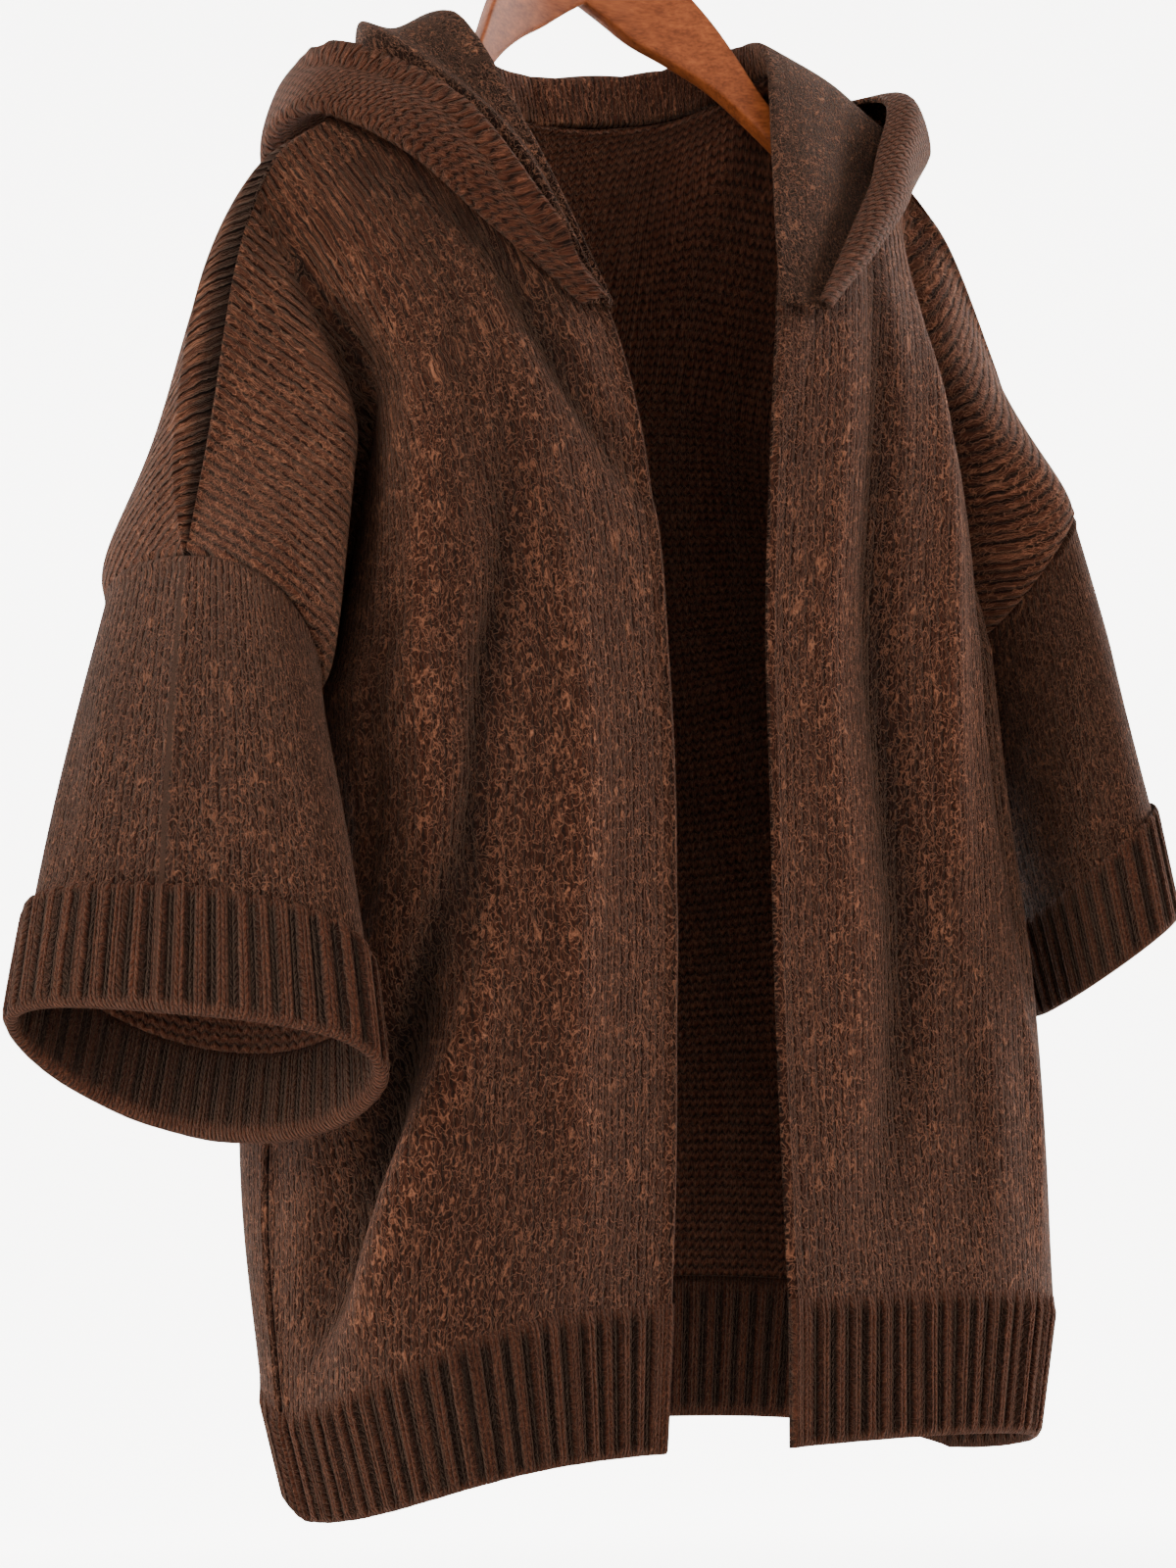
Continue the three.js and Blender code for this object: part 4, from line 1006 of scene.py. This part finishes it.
def build_hem(name, node, top, bottom, sign, side=None):
    """The ribbed hem of a front, or of the back when no side is given."""
    back = side is None
    fine = np.linspace(0, 1, 2400)
    length = line_lengths(top(fine))
    count = int(round(length[-1] / HEM_PITCH)) * RIB_SAMPLES
    at = np.linspace(0, length[-1], count + 1)
    shares = np.interp(at, length, fine)
    phase = np.arange(count + 1) / RIB_SAMPLES
    upper, lower = top(shares), bottom(shares)
    deep = float(np.linalg.norm(upper[0] - lower[0]))
    down = places(deep, HEM_STEP, (False, True))[:, None] / deep
    base = mix(upper[None], lower[None], down[..., None])
    inward = grid_normals(base, sign)
    ends = np.minimum(at, length[-1] - at) if back else length[-1] - at
    shared = np.zeros_like(inward)
    shared[..., 0] = -np.sign(base[..., 0])
    inward = blended(inward, shared, smooth(8, 0, ends) + 0 * down)
    if back:
        base[:, [0, -1], 1] += SEAM_GAP
    else:
        base[:, -1, 1] -= SEAM_GAP
    inward[0, :, 2] = 0
    inward[0] = unit(inward[0])
    from_bottom, from_top = (1 - down) * deep, down * deep
    free = at + NO_EDGE if back else at
    start, bound, edge = smooth(0, 9, from_top), smooth(1.5, 5.5, from_bottom), smooth(3, 17, free)
    # Ribs between the seam, the plain bottom binding and the plain front edge.
    rib = rib_profile(phase, RIB_RISE) * mix(0.12, 1, start)
    rib = (rib * mix(0.15, 1, bound) + 0.9 * (1 - bound)) * mix(0.12, 1, edge) + 1.6 * (1 - edge)
    rib = np.where(ends < 0.5, 0, rib + 0.3 * np.sin(phase * 2.3 + 1) * start)
    drop = round_off(from_bottom, EDGE_DROP) + round_off(free, ROUNDED) + round_off(ends, 1.2)
    rise = rib + edge_relief(free, 1.0, 3.4, 2.2) - np.minimum(drop, 2.3)
    hidden = np.minimum(round_off(from_bottom, 1.4) + round_off(free, 1.2), 1.3)
    shown = start * bound * edge
    bumps = np.where(ends < 3, 0, rib_profile(phase + 0.5, 1.5) * shown)
    outer = base - inward * rise[..., None]
    inner = base + inward * (WALL - hidden + bumps)[..., None]
    # Painted shade in the channels between the ribs, outside and inside.
    made = cloth(name, outer, inner, mapped(at, from_bottom), np.zeros(base.shape[:2]),
                 [RIB, RIB], sign=sign if back else -sign,
                 deep=(channel(phase) * shown, channel(phase + 0.5) * shown))
    finish_cloth(made, node, base)


hood_seams = {
    "right": track([  # p x y z lean turn
        [0, -69, -88, 574, 8, 0], [0.2, -77, -72, 612, 20, 0], [0.4, -90, -46, 662, 42, 0],
        [0.6, -103, -3, 729, 84, 8], [0.72, -94, 26, 725, 90, 35],
        [0.86, -60, 56, 717, 90, 66], [1, 0, 73, 713.5, 90, 90],
    ]),
    "left": track([
        [0, 37, -90, 585, 8, 0], [0.2, 52, -74, 622, 20, 0], [0.4, 74, -46, 670, 42, 0],
        [0.6, 103, -3, 736, 84, 8], [0.72, 94, 26, 730, 90, 35],
        [0.86, 60, 56, 719, 90, 66], [1, 0, 73, 713.5, 90, 90],
    ]),
}
# p, then roll, dip, ridge, groove, fold, top and end, each out and up.
hood_sections = {
    "right": track([
        [0, 4, 5, 6, 6, 9, 8, 12, 5, 20, 4, 17, 9, 13, 10],
        [0.2, 8, 9, 12, 7, 17, 11, 27, 2, 54, 2, 42, 14, 28, 8],
        [0.4, 4, 10, 13, 7, 25, 13, 38, -2, 76, -6, 60, 14, 43, 4],
        [0.6, 2, 11, 31, -1, 50, -2, 58, -30, 88, -50, 72, -24, 60, -21],
        [0.72, 11, 17, 25, 10, 41, 12, 52, -34, 92, -60, 82, -14, 60, -8],
        [0.86, 6, 25, 20, 4, 36, -52, 50, -120, 88, -124, 98, -52, 72, 0],
        [1, 8, 26, 20, 2, 36, -90, 48, -186, 82, -192, 98, -90, 66, 4],
    ]),
    "left": track([
        [0, -5, 5, 4, 7, 9, 7, 13, 4, 23, 4, 20, 9, 14, 10],
        [0.2, -13, 9, 2, 11, 14, 9, 31, 2, 55, 4, 46, 14, 33, 11],
        [0.4, -13, 10, 6, 14, 26, 11, 52, -4, 86, -8, 74, 12, 58, 8],
        [0.6, -9, 13, 16, 9, 42, 1, 76, -18, 112, -34, 98, -2, 80, -6],
        [0.72, 3, 24, 16, 16, 38, 0, 64, -42, 104, -56, 94, -10, 70, -4],
        [0.86, 6, 26, 20, 6, 36, -52, 52, -122, 90, -126, 98, -52, 72, 2],
        [1, 8, 26, 20, 2, 36, -90, 48, -186, 82, -192, 98, -90, 66, 4],
    ]),
}
HOOD_PLACES = (0, 0.12, 0.26, 0.4, 0.58, 0.72, 0.88, 1)


def hood_row(side, p, q):
    """The points of one section of the hood."""
    x, y, z, lean, turn = hood_seams[side.key](p)
    lean, turn = math.radians(lean), math.radians(turn)
    up = np.array([0, -math.cos(lean), math.sin(lean)])
    out = np.array([side.sign * math.cos(turn), math.sin(turn), 0])
    out = unit(out - up * out.dot(up))
    c = hood_sections[side.key](p)
    rows = [[0, 0, 0]] + [[HOOD_PLACES[k + 1], c[2 * k], c[2 * k + 1]] for k in range(7)]
    profile = track(rows)(q)
    lift = profile[:, 1:2] + mix(HOOD_SINK, HOOD_LIFT, smooth(0, 0.12, q))[:, None]
    return np.array([x, y, z]) + out * profile[:, 0:1] + up * lift


def near(q, place, width):
    return np.exp(-((q - place) / width) ** 2)


def build_hood(side):
    across = np.linspace(0, 1, 400)
    along = np.linspace(0, 1, HOOD_ROWS)
    base = np.empty((HOOD_ROWS, HOOD_COLUMNS, 3))
    width, q = np.empty(base.shape[:2]), np.empty(base.shape[:2])
    for i, p in enumerate(along):
        length = line_lengths(hood_row(side, p, across))
        width[i] = np.linspace(0, length[-1], HOOD_COLUMNS)
        width[i, 1:4] = (0.5, 1.2, 2.2)
        width[i, -4:-1] = length[-1] - width[i, 3:0:-1]
        q[i] = np.interp(width[i], length, across)
        base[i] = hood_row(side, p, q[i])
    p = along[:, None] + 0 * q
    inward = grid_normals(base, -side.sign)
    wave = 1.1 * np.sin(9 * p + 5 * q) * smooth(0.1, 0.3, q) * smooth(1, 0.85, q)
    wave *= smooth(0, 0.1, p) * smooth(1.0, 0.93, p)
    if side is right:  # a further fold along the outer roll
        lies = smooth(0.04, 0.16, p) * smooth(0.72, 0.60, p)
        wave += lies * (8.0 * near(q, 0.915, 0.017) - 3.0 * (near(q, 0.87, 0.022)
                                                             + near(q, 0.955, 0.02)))
    base = base + inward * wave[..., None]
    base[-1, :, 0] = side.sign * 0.1
    inward[-1, :, 0] = 0
    inward = unit(inward)
    from_end = width[:, -1:] - width
    run = line_lengths(base[:, 30])[:, None] + 0 * width
    edge = round_off(from_end, 1.4) + round_off(run, ROUNDED)
    rise = edge_relief(width, 0.6, 3.5, 1.6) + edge_relief(from_end, 0.8, 3.2, 2)
    rise -= np.minimum(round_off(width, 1.4) + edge, 1.6)
    outer = base - inward * rise[..., None]
    linked = 2.3 * near(width, 1.2, 2.0) * smooth(0.5, 0.62, p)
    inner = base + inward * (WALL - np.minimum(edge, 1.2) + linked)[..., None]
    # The neckline's first strip behind the neck is ribbed, the rest plain.
    band = smooth(0.2, 0.13, q) * smooth(0.5, 0.62, p)
    on_band = (q < 0.2) & (p > 0.5)
    uv = mapped(np.where(on_band, run, width), np.where(on_band, width, run))
    made = cloth("cardigan_hood_" + side.key, outer, inner, uv, 0.1 + band * 0.85,
                 [FOLDED, REVERSE], sign=side.sign)
    finish_cloth(made, "hood_" + side.key, base)


STRIP_PLACES = np.concatenate([[0, 0.02, 0.05, 0.1], np.linspace(0.15, 0.85, 10),
                               [0.9, 0.95, 0.98, 1]])


def build_turned_edge():
    side = left
    rows = np.linspace(STRIP_START, STRIP_END, 44)
    widths = track([[STRIP_START, 0.012], [0.75, 0.045], [STRIP_END, 0.07]])(rows)
    s = widths * STRIP_PLACES
    t = rows[:, None] + 0 * s
    ds = front_point(side, s + TURNED, t) - front_point(side, np.maximum(s - TURNED, 0), t)
    dt = front_point(side, s, t + TURNED) - front_point(side, s, t - TURNED)
    outward = unit(np.cross(ds, dt)) * side.sign
    base = front_point(side, s, t)
    crown = np.sqrt(np.clip(1 - (2 * STRIP_PLACES - 1) ** 4, 0, 1))
    rise = SEAM_GAP + TURNBACK * mix(0.35, 1, crown) + 0 * s
    made = cloth("cardigan_turned_edge", base + outward * rise[..., None],
                 base + outward * SEAM_GAP,
                 mapped(line_lengths(base), line_lengths(base[:, 4])[:, None]),
                 np.zeros(s.shape), [KNIT, REVERSE], sign=side.sign)
    finish_cloth(made, "turned_edge_left", base)


def polygons(name, positions, faces, material):
    mesh = bpy.data.meshes.new(name)
    mesh.from_pydata(np.asarray(positions, float).reshape(-1, 3).tolist(), [], faces)
    mesh.update()
    return add_mesh(name, mesh, [material])


def build_tube(name, node, rings, material):
    """A closed solid through rings of points."""
    rows, columns = rings.shape[:2]
    first = list(range(columns))
    ends = [first[::-1], [(rows - 1) * columns + k for k in first]]
    made = polygons(name, metres(rings), quads(rows, columns).tolist() + ends, material)
    belongs(made, node)


hanger_table = track([  # x y top bottom thick
    [0, HANGER_Y, HANGER_TOP, 769, 13], [14, 29, 828, 761, 13], [30, 27, 810, 751, 13],
    [50, 20, 789, 740, 12.5], [72, 9, 760, 724, 12], [95, -2, 721, 700, 11],
    [125, -1, 699, 678, 10], [160, 0, 675, 657, 9], [185, 1, 656, 642, 8],
    [HANGER_HALF, 1, 647, 637, 7],
])


def build_hanger():
    half = HANGER_HALF * np.linspace(0, 1, 61) ** 1.15
    turns = np.linspace(0, 2 * np.pi, 41)[:-1]
    flat, tall = (np.sign(f(turns)) * np.abs(f(turns)) ** SQUARED for f in (np.cos, np.sin))
    rings = []
    for x in np.concatenate([-half[::-1], half[1:]]):
        y, top, bottom, thick = hanger_table(abs(x))
        end = smooth(HANGER_HALF, HANGER_HALF - 4, abs(x)) * 0.5 + 0.5
        rings.append(np.stack([np.full_like(turns, x), y + flat * thick / 2 * end,
                               (top + bottom) / 2 + tall * (top - bottom) / 2 * end], -1))
    build_tube("hanger_wood", "hanger_body", np.array(rings), WOOD)


def build_hook():
    middle = HANGER_TOP + HOOK_STEM + HOOK_RADIUS
    arc = np.radians(np.linspace(-90, HOOK_MOUTH, 73))
    stem = np.linspace(HANGER_TOP + SEAM_GAP, HANGER_TOP + HOOK_STEM, 9)[:-1]
    line = np.zeros((len(stem) + len(arc), 3))
    line[:, 1] = HANGER_Y
    line[:, 2] = np.concatenate([stem, middle + HOOK_RADIUS * np.sin(arc)])
    line[len(stem):, 0] = -HOOK_RADIUS * np.cos(arc)
    blend = line.copy()
    blend[1:-1] = (line[:-2] + 2 * line[1:-1] + line[2:]) / 4
    sideways = np.array([0.0, 1, 0])
    up = unit(np.cross(unit(np.gradient(blend, axis=0)), sideways))
    turns = np.linspace(0, 2 * np.pi, 17)[:-1, None]
    ring = np.cos(turns) * sideways + np.sin(turns) * up[:, None, :]
    size = np.full(len(line), WIRE / 2)
    size[-2:] = (WIRE / 2 * 0.85, WIRE / 2 * 0.45)
    build_tube("hanger_wire", "hanger_hook",
               blend[:, None, :] + ring * size[:, None, None], STEEL)


# Camera: 35 degrees to the wearer's right of straight on, 2 m away, tilted up a little.
TURN, DISTANCE, FOCAL, EYE, RISE, ASIDE, ROLL = 35, 2.0, 3883, 0.189, 300, 648, 1.5
PHOTO_WIDE, PHOTO_HIGH, SENSOR = 1200, 1600, 36


def build_camera():
    a = math.radians(TURN)
    across = Vector((math.cos(a), -math.sin(a), 0))
    level = Vector((math.sin(a), math.cos(a), 0))
    tilt, roll = math.atan(RISE / FOCAL), math.radians(ROLL)
    forward = level * math.cos(tilt) + Vector((0, 0, math.sin(tilt)))
    up = Vector((0, 0, math.cos(tilt))) - level * math.sin(tilt)
    aside = (ASIDE - PHOTO_WIDE / 2) * DISTANCE / FOCAL
    place = Vector((0, 0, EYE)) - level * DISTANCE - across * aside + Vector(SHIFT) / 1000
    rolled = across * math.cos(roll) - up * math.sin(roll)
    rolled_up = up * math.cos(roll) + across * math.sin(roll)
    data = bpy.data.cameras.new("camera")
    data.sensor_fit = "AUTO"
    data.sensor_width = SENSOR
    data.lens = SENSOR * FOCAL / PHOTO_HIGH
    camera = add("camera", data)
    turn = Matrix((rolled, rolled_up, -forward)).transposed().to_4x4()
    camera.matrix_world = Matrix.Translation(place) @ turn
    bpy.context.scene.camera = camera
    return level, across


# A pale floor that curves up behind the cardigan and glows there.
FLOOR, FLOOR_REACH, FLOOR_CURVE, FLOOR_TOP = -1.3, 3.2, 1.6, 3.5
FLOOR_DARK, FLOOR_LIGHT = (0.80, 0.795, 0.785, 1), (0.83, 0.825, 0.815, 1)
GLOW, GLOW_START, GLOW_FULL = 5.0, 1.2, 3.0
GLOW_COLOUR = (1.0, 0.985, 0.965, 1)
WORLD_COLOUR, WORLD_LIGHT = (1.0, 0.99, 0.975, 1), 0.4


def build_stage():
    g = Graph("pale_floor")
    place = g.place()
    speck = g.noise(place, 3, 2.0)
    g.join(g.colour(speck, FLOOR_DARK, FLOOR_LIGHT), g.shader.inputs["Base Color"])
    g.fix(Roughness=0.9, Emission_Color=GLOW_COLOUR)
    x, y = g.split("ShaderNodeSeparateXYZ", place)[:2]
    turn = math.radians(TURN)
    behind = g.plus(g.times(x, math.sin(turn)), g.times(y, math.cos(turn)))
    g.join(g.remap(behind, GLOW_START, GLOW_FULL, 0.0, GLOW), g.shader.inputs["Emission Strength"])
    profile = [(reach, FLOOR) for reach in (0.0, 1.5, FLOOR_REACH)]
    profile += [(FLOOR_REACH + FLOOR_CURVE * math.sin(a), FLOOR + FLOOR_CURVE * (1 - math.cos(a)))
                for a in np.radians(np.linspace(6, 90, 15))]
    profile += [(FLOOR_REACH + FLOOR_CURVE, FLOOR_TOP)]
    angles = np.linspace(0, 2 * np.pi, 97)[:-1]
    points = [(r * math.cos(a), r * math.sin(a), z) for r, z in profile for a in angles]
    polygons("floor", points, quads(len(profile), len(angles)).tolist(), g.material)
    world = bpy.data.worlds.new("studio")
    world.use_nodes = True
    light = world.node_tree.nodes["Background"].inputs
    light[0].default_value, light[1].default_value = WORLD_COLOUR, WORLD_LIGHT
    bpy.context.scene.world = world


LIT_PLACE = Vector((0, 0, -0.5))
LIGHTS = [  # name, metres along the view, across it and up, metres wide, watts, colour
    ("key", -2.1, -1.9, 1.6, 1.3, 76, (1, 0.985, 0.96)),
    ("fill", 1.5, 2.6, 0.9, 1.6, 96, (1, 0.99, 0.98)),
    ("top", 0.5, 0.0, 2.6, 2.4, 34, (1, 1, 1)),
]


def build_lights(level, across):
    for name, ahead, aside, up, size, watts, colour in LIGHTS:
        data = bpy.data.lights.new(name, "AREA")
        data.shape = "RECTANGLE"
        data.size = data.size_y = size
        data.energy = watts
        data.color = colour
        place = LIT_PLACE + level * ahead + across * aside + Vector((0, 0, up))
        turn = (LIT_PLACE - place).to_track_quat("-Z", "Y").to_matrix().to_4x4()
        add(name, data).matrix_world = Matrix.Translation(place) @ turn


build_stage()
build_lights(*build_camera())
for side in (right, left):
    build_front(side)
    build_sleeve(side)
    build_cuff(side)
    build_hood(side)
build_back()
build_turned_edge()
for side in (right, left):
    build_hem(
        "cardigan_hem_" + side.key, "hem_rib_" + side.key,
        lambda s, side=side: front_point(side, s, 0.0),
        lambda s, side=side: rounded(side.hem_edge, side.hem_side, s, HEM_SHAPE, -1),
        side.sign, side)


def back_bottom(a):
    s = 2 * a - 1
    away = np.abs(s)
    halves = [rounded(HEM_CENTRE_BACK, side.hem_side, away, BACK_HEM_SHAPE, BACK_FULLNESS)
              for side in (right, left)]
    return np.where((s < 0)[..., None], halves[0], halves[1])


build_hem("cardigan_hem_back", "hem_rib_back", lambda a: back_point(2 * a - 1, 0.0), back_bottom,
          -1.0)
build_hanger()
build_hook()
